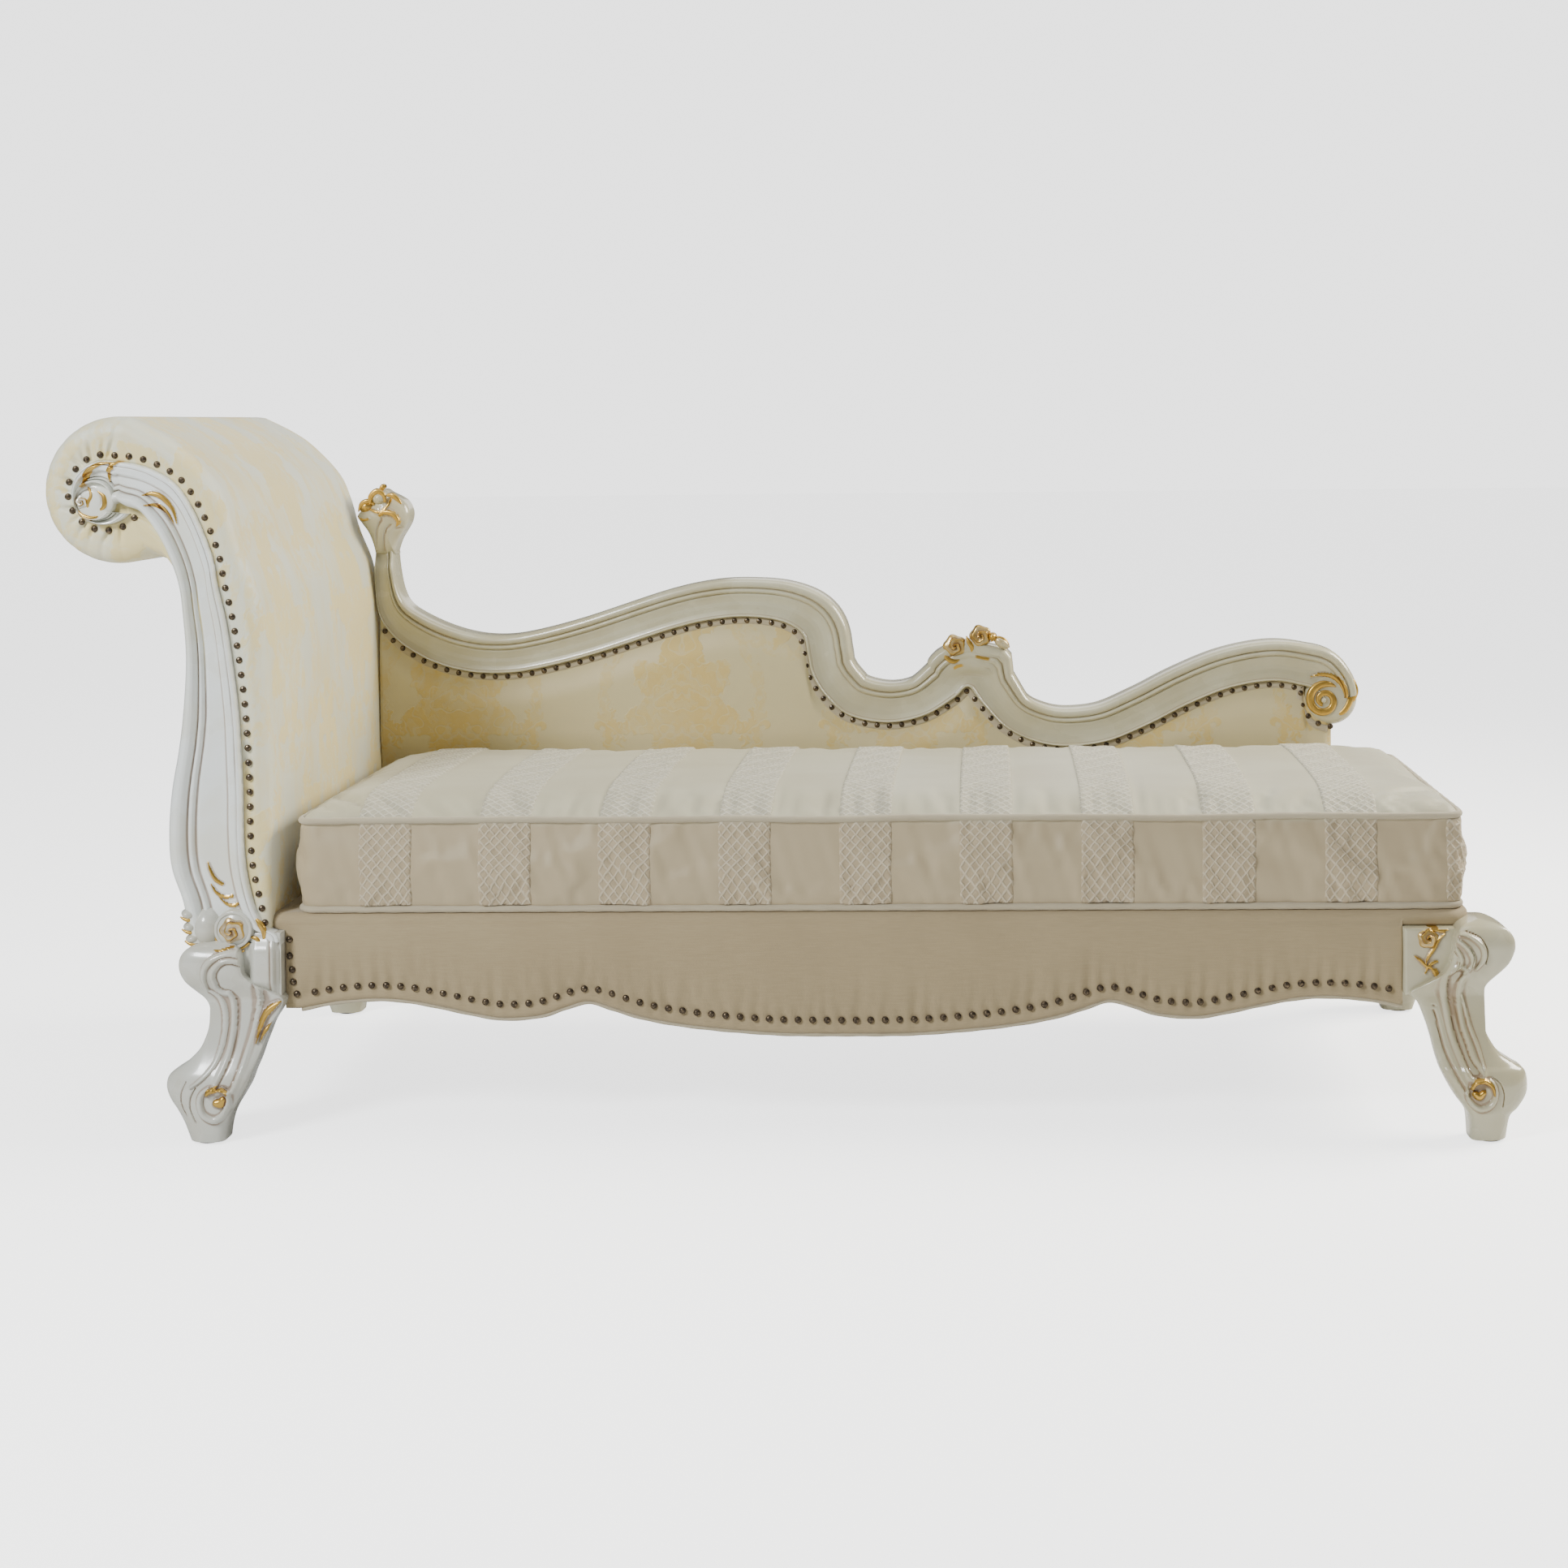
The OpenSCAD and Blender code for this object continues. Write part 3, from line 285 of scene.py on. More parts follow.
def damask_finish(name, ground, figure_colour, streak):
    """Satin ground with a matt golden figure, faded in patches that streak along the cloth."""
    finish = Finish(name, {"Sheen Weight": 0.25, "Sheen Roughness": 0.45})
    cloth = finish.node("ShaderNodeUVMap", {"uv_map": "cloth"})
    u, v = finish.split(cloth, 2)
    figure = damask_figure(finish, u, v)
    slow = finish.noise(finish.vector(u * 8.0, v * 8.0 * (1.0 - streak)), 1.0, 4.0, 0.65)
    worn = finish.noise(finish.vector(u * 70.0, v * 70.0 * (1.0 - streak)), 1.0, 4.0, 0.6)
    thread = (u * 2600.0).math("SINE") * (v * 2600.0).math("SINE")
    faded = figure * (slow * 1.1 + worn * 0.5 - 0.05).math("MINIMUM", 1.0)
    tone = (faded * 0.85 + (slow + worn * 0.3 - 0.52) * streak * 4.2).step(0.0, 1.0)
    finish.feed("Base Color", finish.mix(ground, figure_colour, tone))
    finish.feed("Roughness", 0.42 + figure * 0.25)
    finish.relief(figure * 0.7 + thread * 0.12 + worn * 0.5, 0.0009, 0.6)
    return finish.material


back_damask = damask_finish("back_damask", (0.57, 0.49, 0.275, 1), (0.59, 0.435, 0.15, 1), 0.1)
head_damask = damask_finish("headrest_damask", (0.75, 0.75, 0.60, 1), (0.81, 0.68, 0.33, 1), 0.6)
print("damask cells:", CELL_W, "by", CELL_H, "m")

# %% [markdown]
# ## Satin, quilted bands and plain linen
# The cushion's bands are quilted in small diamonds. Their cords stand up, and the cloth
# between them is sunk. The bands run across the cushion and down its boxing, so the sum
# Y + Z is one coordinate along them both, and the quilting needs no UV map. The boxing is
# browner than the top, because it faces away from the light in the photograph.


# %% Finishes for satin, trellis and linen
def weave(x, y, pitch):
    """Plain weave as a product of two sines, one wave for each pair of threads."""
    turns = 6.2832 / pitch
    return (x * turns).math("SINE") * (y * turns).math("SINE")


def painted_shade_below_seam(z):
    """1 on the boxing, below the top seam at z = 0.452 m, and 0 on the cushion's top."""
    # Marks where painted shade lies: the boxing is browner than the top only through painted
    # shade.
    return 1.0 - z.step(0.440, 0.456)


def satin_finish(name, colour, shade, boxing):
    """Smooth satin: broad soft patches of two close tints, and a browner one on the boxing."""
    finish = Finish(name, {"Sheen Weight": 0.35, "Sheen Roughness": 0.35})
    x, y, z = finish.split(finish.point())
    patches = finish.noise(finish.vector(x * 5.0, y * 9.0, z * 3.0), 1.0, 2.0)
    tint = finish.mix(colour, shade, patches.step(0.3, 0.7))
    # Painted shade: a browner colour on the boxing, below the top seam.
    finish.feed("Base Color", finish.mix(tint, boxing, painted_shade_below_seam(z) * 0.8))
    finish.feed("Roughness", 0.36 + patches * 0.16)
    finish.relief(weave(x, y + z, 0.0016) * 0.2 + patches * 0.5, 0.001, 0.35)
    return finish.material


def trellis_finish(name):
    """Diamonds 15 mm wide and 18 mm long: pale raised cords over a greyer sunk ground. They are
    a little finer than the cords of the bands' own shape."""
    finish = Finish(name, {"Sheen Weight": 0.2})
    x, y, z = finish.split(finish.point())
    slant = [(x / 0.015 + (y + z) * sign / 0.018).math("PINGPONG", 0.5) for sign in (1, -1)]
    cord = 1.0 - slant[0].math("MINIMUM", slant[1]).step(0.03, 0.2)
    on_top = finish.mix((0.455, 0.415, 0.295, 1), (0.64, 0.60, 0.465, 1), cord)
    # Painted shade: browner ground and cords on the boxing.
    side_painted_shade = finish.mix((0.43, 0.34, 0.21, 1), (0.56, 0.475, 0.33, 1), cord)
    finish.feed("Base Color", finish.mix(on_top, side_painted_shade, painted_shade_below_seam(z)))
    finish.feed("Roughness", 0.62 - cord * 0.2)
    finish.relief(cord + weave(x, y + z, 0.0022) * 0.1, 0.0015, 0.8)
    return finish.material


def linen_finish(name, colour, shade, pitch=0.0018):
    """Plain woven linen with slubs: long thin noise along both threads."""
    finish = Finish(name, {"Sheen Weight": 0.3, "Sheen Roughness": 0.5})
    point = finish.point()
    x, y, z = finish.split(point)
    slubs = finish.noise(finish.vector(x * 40.0, y * 40.0, z * 900.0), 1.0, 2.0)
    slow = finish.noise(point, 6.0)
    tint = (slubs * 0.5 + slow * 0.5).step(0.3, 0.7)
    finish.feed("Base Color", finish.mix(colour, shade, tint))
    finish.feed("Roughness", 0.75 + slubs * 0.1)
    finish.relief(weave(x + y, z, pitch) * 0.3 + slubs * 0.5, 0.0008, 0.5)
    return finish.material


satin = satin_finish("cushion_satin", (0.53, 0.50, 0.355, 1), (0.48, 0.44, 0.30, 1),
                     (0.42, 0.325, 0.19, 1))
trellis = trellis_finish("quilted_trellis")
linen = linen_finish("apron_linen", (0.39, 0.305, 0.17, 1), (0.345, 0.265, 0.145, 1))
piping_cloth = linen_finish("piping_cloth", (0.48, 0.42, 0.29, 1), (0.43, 0.36, 0.24, 1), 0.0012)
dust_cloth = linen_finish("dust_cloth", (0.05, 0.05, 0.052, 1), (0.03, 0.03, 0.03, 1))
burlap_cloth = linen_finish("burlap", (0.36, 0.25, 0.13, 1), (0.27, 0.18, 0.09, 1), 0.004)
print("fabrics:", satin.name, trellis.name, linen.name)

# %% [markdown]
# ## Hidden wood, steel and felt
# The seat frame, the bolts, the glides and the nails are good as the CAD model has them. They
# only need finishes: raw hardwood with growth rings, plain steel, grey felt and antique brass.


# %% Finishes for the hidden frame
def raw_wood_finish(name):
    """Hardwood: two browns in bands of noise, stretched twenty times along X."""
    finish = Finish(name, {})
    x, y, z = finish.split(finish.point())
    grain = finish.noise(finish.vector(x * 3.0, y * 60.0, z * 60.0), 1.0, 5.0, 0.6)
    rings = grain.step(0.35, 0.65)
    finish.feed("Base Color", finish.mix((0.50, 0.31, 0.155, 1), (0.33, 0.18, 0.08, 1), rings))
    finish.feed("Roughness", 0.55 + grain * 0.2)
    finish.relief(grain, 0.0006, 0.5)
    return finish.material


def plain_finish(name, colour, shade, metallic, roughness):
    """Two close tints mixed by noise, with a grain in the relief."""
    finish = Finish(name, {"Metallic": metallic})
    grain = finish.noise(finish.point(), 300.0)
    finish.feed("Base Color", finish.mix(colour, shade, grain))
    finish.feed("Roughness", grain * 0.2 + roughness)
    finish.relief(grain, 0.0004, 0.4)
    return finish.material


raw_wood = raw_wood_finish("raw_hardwood")
steel = plain_finish("bolt_steel", (0.42, 0.42, 0.43, 1), (0.3, 0.3, 0.31, 1), 1.0, 0.3)
felt = plain_finish("felt", (0.11, 0.11, 0.115, 1), (0.07, 0.07, 0.075, 1), 0.0, 0.8)

NODE_FINISH = {
    raw_wood: "front_rail rear_rail head_rail foot_rail cross_stretchers corner_braces "
    "head_side_boards head_slats back_posts",
    steel: "leg_bolts",
    felt: "foot_glides",
    brass: "apron_nails facing_nails crest_nails",
}
for material, names in NODE_FINISH.items():
    for name in names.split():
        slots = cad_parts[name].data.materials
        slots.clear()
        slots.append(material)
print("finished CAD nodes:", sum(len(names.split()) for names in NODE_FINISH.values()))

# %% [markdown]
# ## Curves and grids
# Every carved or sewn piece below is a grid of points worked out as one numpy array. A drawn
# line becomes smooth by a Catmull-Rom curve, which passes through all of its points, so a
# line can be read off the object and typed in as it is. A `Shape` gathers grids, joins
# neighbouring points by quads and closes open ends by ladders between two of its sides.


# %% Curves
def smooth(points, steps=8):
    """Catmull-Rom curve: its slope at a point is half the step between the point's neighbours."""
    p = np.asarray(points, float)
    m = len(p) - 1
    i = np.repeat(np.arange(m), steps)
    t = np.tile(np.arange(steps) / steps, m)[:, None]
    a, b, c, d = p[np.maximum(i - 1, 0)], p[i], p[i + 1], p[np.minimum(i + 2, m)]
    bend = (2 * a - 5 * b + 4 * c - d) * t**2 + (3 * b - a - 3 * c + d) * t**3
    return np.vstack([0.5 * (2 * b + (c - a) * t + bend), p[-1:]])


def along(path):
    """Length of the path up to each of its points, in the first two columns' plane."""
    return np.append(0, np.cumsum(np.linalg.norm(np.diff(path[:, :2], axis=0), axis=1)))


def resample(path, count):
    """count points at equal distances along the path, in all of its columns."""
    s = along(path)
    at = np.linspace(0, s[-1], count)
    return np.stack([np.interp(at, s, column) for column in path.T], 1)


def arc(centre, radius, start, end, count):
    """Points at centre + radius * (cos, sin) from the start angle to the end, in degrees."""
    a = np.radians(np.linspace(start, end, count))
    turn = np.stack([np.cos(a), np.sin(a)], 1)
    return np.asarray(centre, float) + turn * np.reshape(radius, (-1, 1))


def left_of(path):
    """Unit normal to the left of a flat path, from the difference of each point's neighbours."""
    step = np.gradient(path[:, :2], axis=0)
    step /= np.linalg.norm(step, axis=1)[:, None]
    return np.stack([-step[:, 1], step[:, 0]], 1)


def ease(x, low, high):
    """0 below low, 1 above high, 3t^2 - 2t^3 between them."""
    t = np.clip((np.asarray(x, float) - low) / (high - low), 0, 1)
    return t * t * (3 - 2 * t)


def stand(flat, y):
    """Points of a grid from their flat places (x, z) and their y."""
    return np.stack([flat[..., 0], y + 0 * flat[..., 0], flat[..., 1]], 2)


def ripples(x, seed, lengths, strength=1.0):
    """Sum of cosines with seeded random phases: one wave for each length."""
    phases = np.random.default_rng(seed).uniform(0, 6.283, len(lengths))
    waves = [np.cos(6.283 * x / size + phase) for size, phase in zip(lengths, phases)]
    return strength * sum(waves) / len(lengths)


print("curve through three points:", smooth([(0, 0), (1, 1), (2, 0)], 2).tolist())


# %% Shapes
def hollows(points, reach, wrap):
    """Depth of each point under the mean of its neighbours, along the surface's normal.

    The mean is taken over reach[0] rows and then reach[1] columns on both sides.
    """
    mean = points
    for axis, side in enumerate(reach):
        pad = [(0, 0)] * 3
        pad[axis] = (side, side)
        odd = {} if wrap[axis] else {"reflect_type": "odd"}
        wide = np.pad(mean, pad, "wrap" if wrap[axis] else "reflect", **odd)
        count = points.shape[axis]
        parts = [np.take(wide, range(k, k + count), axis) for k in range(2 * side + 1)]
        mean = sum(parts) / len(parts)
    normal = np.cross(np.gradient(points, axis=0), np.gradient(points, axis=1))
    normal /= np.maximum(np.linalg.norm(normal, axis=2), 1e-9)[..., None]
    return ((mean - points) * normal).sum(2)


class Shape:
    """Points in millimetres with faces, gathered grid by grid, and what is painted on them."""

    def __init__(self):
        self.points = np.zeros((0, 3))
        self.faces = np.zeros((0, 4), int)
        self.paint = {}
        self.starts = []

    def grid(self, points, around=False, across=False, reach=None, same=False, **paint):
        """Add a closed patch: rows and columns of points, closed around or across on itself.

        With same=True the grid belongs to the last patch and already lies the right way round.
        """
        rows, columns = points.shape[:2]
        start = len(self.points)
        if not same:
            self.starts.append((start, len(self.faces)))
        index = start + np.arange(rows * columns).reshape(rows, columns)
        if reach:
            paint["hollow"] = hollows(points, reach, (around, across))
        for key in set(self.paint) | set(paint):
            old = self.paint.get(key)
            new = paint.get(key)
            size = (2,) if key == "cloth" else ()
            old = np.zeros((start,) + size) if old is None else old
            new = np.zeros((rows * columns,) + size) if new is None else new
            self.paint[key] = np.concatenate([old, np.reshape(new, (rows * columns,) + size)])
        self.points = np.concatenate([self.points, points.reshape(-1, 3)])
        tall = np.vstack([index, index[:1]]) if around else index
        wide = np.hstack([tall, tall[:, :1]]) if across else tall
        self.ladder(wide[:-1], wide[1:])
        return index

    def ladder(self, a, b):
        """Quads between two chains of points that are numbered alike."""
        quads = np.stack([a[..., :-1], b[..., :-1], b[..., 1:], a[..., 1:]], -1)
        self.faces = np.concatenate([self.faces, quads.reshape(-1, 4)])

    def turn_outwards(self):
        """Signed volume of each patch, from the tetrahedra between its triangles and the
        patch's middle: a patch where it is negative has its faces turned round."""
        ends = self.starts[1:] + [(len(self.points), len(self.faces))]
        for (p0, f0), (p1, f1) in zip(self.starts, ends):
            quads = self.faces[f0:f1]
            a, b, c, d = (self.points[quads[:, k]] - self.points[p0:p1].mean(0) for k in range(4))
            if (np.cross(a, b) * c).sum() + (np.cross(a, c) * d).sum() < 0:
                self.faces[f0:f1] = quads[:, ::-1]
                if "hollow" in self.paint:
                    self.paint["hollow"][p0:p1] *= -1


def close_ends(shape, index):
    """Close the first row and the last of a grid whose rows are rings, by ladders that pair a
    row's first point with its last, and so on. Where the columns are the rings, index.T is
    given."""
    half = index.shape[1] // 2
    for row in (index[0], index[-1][::-1]):
        shape.ladder(row[:half], row[::-1][:half])


def piece(name, shape, material, nodes="", body="frame", crisp=None):
    """Make one object: quads turned outwards, doubled points merged, paint as attributes.

    Edges sharper than crisp degrees stay sharp; without it the whole piece is smooth.
    """
    shape.turn_outwards()
    faces = shape.faces
    mesh = bpy.data.meshes.new(name)
    mesh.vertices.add(len(shape.points))
    mesh.vertices.foreach_set("co", (shape.points * MM).astype(np.float32).ravel())
    mesh.loops.add(faces.size)
    mesh.loops.foreach_set("vertex_index", faces.ravel().astype(np.int32))
    mesh.polygons.add(len(faces))
    mesh.polygons.foreach_set("loop_start", np.arange(0, faces.size, 4, dtype=np.int32))
    mesh.update(calc_edges=True)
    for key, values in shape.paint.items():
        if key == "cloth":
            layer = mesh.uv_layers.new(name="cloth")
            layer.uv.foreach_set("vector", values[faces.ravel()].astype(np.float32).ravel())
        else:
            layer = mesh.attributes.new(key, "FLOAT", "POINT")
            layer.data.foreach_set("value", values.astype(np.float32))
    work = bmesh.new()
    work.from_mesh(mesh)
    bmesh.ops.remove_doubles(work, verts=work.verts, dist=1e-5)
    work.to_mesh(mesh)
    work.free()
    mesh.polygons.foreach_set("use_smooth", np.ones(len(mesh.polygons), bool))
    if crisp:
        mesh.set_sharp_from_angle(angle=np.radians(crisp))
    mesh.materials.append(material)
    made = bpy.data.objects.new(name, mesh)
    bpy.context.scene.collection.objects.link(made)
    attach(made, body)
    if nodes:
        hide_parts(*nodes.split())
    print(name, len(mesh.polygons), "faces")
    return made


# %% [markdown]
# ## Strokes pressed into a surface
# A carver's gouge leaves strokes: grooves, half-round ridges, pointed commas. Each is a drawn
# line with a half width at every point. The distance from a surface point to the line gives
# the relief, so one function carves any piece, and the same distance paints the gold.


# %% Strokes
def to_line(at, line):
    """Distance from each point to a drawn line, and the share of its length at the nearest spot.

    Each point is projected on every segment and held between its ends; the nearest one counts.
    """
    a = line[:-1]
    d = line[1:] - a
    t = ((at[:, None] - a) * d).sum(2) / np.maximum((d * d).sum(1), 1e-9)
    t = np.clip(t, 0, 1)
    gap = np.linalg.norm(at[:, None] - a - t[..., None] * d, axis=2)
    best = gap.argmin(1)
    rows = np.arange(len(at))
    return gap[rows, best], (best + t[rows, best]) / len(a)


def carved(at, strokes):
    """Rise and gold at flat places: a stroke of height h and half width w adds
    h * sqrt(1 - (distance / w)^2), a negative h cuts a rounded groove."""
    rise = np.zeros(len(at))
    cut = np.zeros(len(at))
    gold = np.zeros(len(at))
    for drawn, height, gilded in strokes:
        line = smooth(drawn, 5)
        w = np.abs(line[:, 2]).max() + 1
        box = (at > line[:, :2].min(0) - w) & (at < line[:, :2].max(0) + w)
        near = np.flatnonzero(box.all(1))
        if not len(near):
            continue
        far, share = to_line(at[near], line[:, :2])
        width = np.interp(share, np.linspace(0, 1, len(line)), line[:, 2])
        round_top = np.sqrt(np.clip(1 - (far / np.maximum(width, 0.05)) ** 2, 0, 1))
        if height > 0:
            rise[near] = np.maximum(rise[near], round_top * height)
        else:
            cut[near] = np.minimum(cut[near], round_top * height)
        if gilded:
            gold[near] = np.maximum(gold[near], ease(round_top, 0.05, 0.45))
    return rise + cut, gold


def inside(at, outline):
    """True where a point lies in a closed outline: an odd number of crossings to its right."""
    a = outline
    b = np.roll(outline, -1, 0)
    x, z = at[:, :1], at[:, 1:]
    spans = (a[:, 1] > z) != (b[:, 1] > z)
    slope = (b[:, 0] - a[:, 0]) / np.where(b[:, 1] == a[:, 1], 1e-9, b[:, 1] - a[:, 1])
    return (spans & (x < a[:, 0] + (z - a[:, 1]) * slope)).sum(1) % 2 == 1


one_stroke = [([(-1, 0, 2), (1, 0, 2)], 3, False)]
print("a stroke's rise on its line:", carved(np.array([[0.0, 0.0]]), one_stroke))

# %% [markdown]
# ## The headrest's cover
# One padded form leans back and rolls over at the top. Its cloth is nailed in front along the
# carved facing, puffs up beyond the nails, turns over a soft edge and runs across the roll
# to the rear. A box with rounded edges would look stiff. Here each row of the grid is one
# section, from the nail line over the edge to the rear, and the rows follow the outline.

# %% Outline of the headrest
HEAD = np.array([-745.0, 295.0])
ROLL, ROLL_R = np.array([-965.0, 937.0]), 107.0
VOLUTE, VOLUTE_R, NAILED_R = np.array([-976.0, 934.0]), 46.5, 42.5
OUTER = [
    (-109, 0), (-123, 45), (-138, 105), (-140, 155), (-131, 225), (-119, 305),
    (-112, 385), (-113, 445), (-121, 505), (-136, 537),
]
INNER = [
    (-155, 724), (-120, 699), (-75, 652), (-55, 608), (-40, 555), (-20, 505),
    (-10, 455), (-5, 385), (-1, 205), (0, 0),
]
FACING_LEFT = [
    (-120, 0), (-127, 45), (-143, 94), (-146, 145), (-141, 205), (-130, 265),
    (-122, 325), (-117, 395), (-120, 455), (-126, 505), (-142, 551), (-160, 585),
    (-180, 610), (-200, 618), (-206, 621), (-210, 624),
]
FACING_RIGHT = [
    (-14, 0), (-23, 45), (-33, 94), (-36, 145), (-36, 205), (-38, 265),
    (-41, 325), (-49, 395), (-58, 455), (-69, 505), (-77, 549), (-101, 610),
    (-127, 650), (-160, 671), (-186, 680), (-212, 684),
]
FACING_TOE = [(17, -13), (13, -3), (-2, 5), (-11, 16)]
SIDE_ROWS, ROLL_ROWS = 96, 70
roll_top = arc(ROLL, ROLL_R, 80, 80, 1)
outline = np.vstack([
    resample(smooth(HEAD + OUTER), SIDE_ROWS),
    arc(ROLL, ROLL_R, 299, 190, ROLL_ROWS),
    arc(ROLL, ROLL_R, 189, 81, ROLL_ROWS),
    resample(smooth(np.vstack([roll_top, HEAD + INNER])), SIDE_ROWS),
])
UNDER_WOOD = [
    (-80, 0), (-106, 105), (-100, 225), (-84, 385), (-92, 480), (-118, 545), (-160, 590),
    (-197, 609),
]
right_edge = smooth(HEAD + FACING_RIGHT)
nail_side = np.vstack([
    resample(smooth(HEAD + UNDER_WOOD), SIDE_ROWS),
    arc(VOLUTE, NAILED_R, 317, 195, ROLL_ROWS),
    arc(VOLUTE, NAILED_R, 194, 73, ROLL_ROWS),
    resample((right_edge + 4 * left_of(right_edge))[::-1], SIDE_ROWS),
])
print("headrest rows:", len(outline), "length round it:", round(along(outline)[-1]), "mm")


# %% Headrest cover
HEAD_SIDE = 340.5
FACE_COLUMNS, TURN_COLUMNS, OVER_COLUMNS, REAR_COLUMNS = 34, 10, 58, 11
FOLDS = [
    (84, 2.6), (97, 1.5), (108, 3.2), (121, 1.6), (137, 2.8), (152, 1.5), (168, 2.4),
    (186, 1.4), (203, 2.3), (220, 1.5), (238, 3.0), (256, 2.6), (272, 3.4), (290, 1.8),
]
FOLDS_FROM_ROW = 80


def headrest_cover():
    """Section of each row: flat face with a puff of 9 * sin(pi * share)^0.7, a quarter circle
    at the outline, straight across the depth, then a flat rear. Round the roll the cloth is
    gathered in folds, which fan out from the volute: FOLDS lists their angles and depths."""
    reach = outline - nail_side
    width = np.linalg.norm(reach, axis=1)[:, None]
    reach = reach / width
    edge = np.minimum(26.0, 0.46 * width)
    share = np.linspace(0, 1, FACE_COLUMNS)[None] ** 0.9
    turn = np.radians(np.linspace(0, 90, TURN_COLUMNS + 1)[1:])[None]
    out = share * (width - edge)
    lift = 9.0 * np.sin(np.pi * np.clip((out - 13) / np.maximum(width - 13, 1), 0, 1)) ** 0.7
    lift = lift * ease(width, 60, 130) - 8 * (1 - ease(out, 0, 6))
    crease = np.zeros_like(lift)
    angle = np.degrees(np.arctan2(*(nail_side - VOLUTE).T[::-1]))[:, None] % 360
    has_folds = (np.arange(len(outline)) > FOLDS_FROM_ROW)[:, None]
    round_roll = ease(angle, 45, 75) * has_folds
    for middle, depth in FOLDS:
        fan = np.radians(angle - middle - 5 * np.sin(out / 22 + middle)) * (46 + out)
        crease -= 2.1 * depth * np.exp(-((fan / (2.2 + out * 0.06)) ** 2)) * ease(out, 4, 12)
    fade = 1 - 0.75 * ease(share + 0 * width, 0.55, 1.0)
    lift = lift + crease * fade * round_roll
    level = HEAD_SIDE + lift[:, -1:]
    face = nail_side[:, None] + reach[:, None] * out[..., None]
    bend = outline[:, None] - reach[:, None] * (edge * (1 - np.sin(turn)))[..., None]
    y_bend = -(level - edge * (1 - np.cos(turn)))
    y_rear = (HEAD_SIDE - edge * (1 - np.cos(turn)))[:, ::-1]
    over = np.linspace(0, 1, OVER_COLUMNS + 2)[None, 1:-1]
    y_over = y_bend[:, -1:] + (y_rear[:, :1] - y_bend[:, -1:]) * over
    rear_share = np.linspace(1, 0, REAR_COLUMNS + 1)[None, 1:]
    rear_face = nail_side[:, None] + reach[:, None] * (rear_share * (width - edge))[..., None]
    y_rear_face = np.full((len(outline), REAR_COLUMNS), HEAD_SIDE)
    straight = np.repeat(outline[:, None], OVER_COLUMNS, 1)
    flat = np.concatenate([face, bend, straight, bend[:, ::-1], rear_face], 1)
    y = np.concatenate([-(HEAD_SIDE + lift), y_bend, y_over, y_rear, y_rear_face], 1)
    points = stand(flat, y)
    slack = ripples(points[..., 2] + 0.6 * y, 5, (210, 150, 95), 1.3)
    points[..., 0] += slack * 0.6 * (1 - ease(np.abs(y), 230, 300))
    return points


cover = headrest_cover()
steps = np.linalg.norm(np.diff(cover, axis=1), axis=2)
u = np.concatenate([np.zeros((len(cover), 1)), np.cumsum(steps, 1)], 1)
middle_column = 70
u = u - u[:, middle_column:middle_column + 1]
v = np.repeat(along(outline)[:, None], cover.shape[1], 1)
head_shape = Shape()
index = head_shape.grid(cover, around=True, cloth=np.stack([u, v], 2) * MM)
close_ends(head_shape, index.T)
headrest = piece(
    "headrest_cover", head_shape, head_damask,
    "head_cover roll_cover head_padding head_lining"
)

# %% [markdown]
# ## Small carved ornament
# Knobs, leaves and roses are cut proud of the wood. On the real piece they are carved from the
# same block or glued on. Here each one is a small closed grid of its own, sunk a few
# millimetres into the wood behind it, so it can be laid anywhere.


# %% Bosses, leaves and roses
def boss(shape, centre, radii, y, height, gold=0.0, tilt=0.0, rings=12, spokes=28):
    """Half ellipsoid that faces the front: height * sqrt(1 - r^2) over the plane at y, with
    radii along and across a direction turned by tilt degrees."""
    angle = np.linspace(0, 2 * np.pi, spokes, endpoint=False)[None]
    r = np.sin(np.linspace(0, np.pi / 2, rings))[:, None]
    a, b = radii[0] * r * np.cos(angle), radii[1] * r * np.sin(angle)
    c, s = np.cos(np.radians(tilt)), np.sin(np.radians(tilt))
    up = height * np.sqrt(np.clip(1 - r**2, 0, 1)) + 0 * angle
    top = np.stack([centre[0] + a * c - b * s, y - up, centre[1] + a * s + b * c], 2)
    back = np.zeros_like(top[:1]) + [centre[0], y + 3, centre[1]]
    points = np.concatenate([top, top[-1:] + [0, 3, 0], back], 0)
    shape.grid(points, across=True, reach=(2, 2), gilded=np.full(points.shape[:2], gold))


def comma(shape, drawn, y, lift, gold=1.0, count=26):
    """Pointed half-round leaf along a drawn line of (x, z, half width): an ellipse of 14 points
    across the line, as high as lift times its half width, creased along its middle."""
    line = resample(smooth(drawn), count)
    side = left_of(line)
    angle = np.linspace(0, 2 * np.pi, 14, endpoint=False)[None]
    w = np.maximum(line[:, 2:], 0.02)
    flat = line[:, None, :2] + side[:, None] * (w * np.cos(angle))[..., None]
    crease = 1 - 0.35 * np.exp(-((np.cos(angle) / 0.28) ** 2)) * (np.sin(angle) > 0)
    up = w * lift * np.sin(angle) * crease
    points = stand(flat, y - up)
    shape.grid(points, across=True, reach=(1, 1), gilded=np.full(points.shape[:2], gold))


def petals(r, angle):
    """Place within a petal, from 0 at its root to 1 at its rim: two spiral arms of petals."""
    return (2.3 * r**0.8 + angle / 3.1416) % 1.0


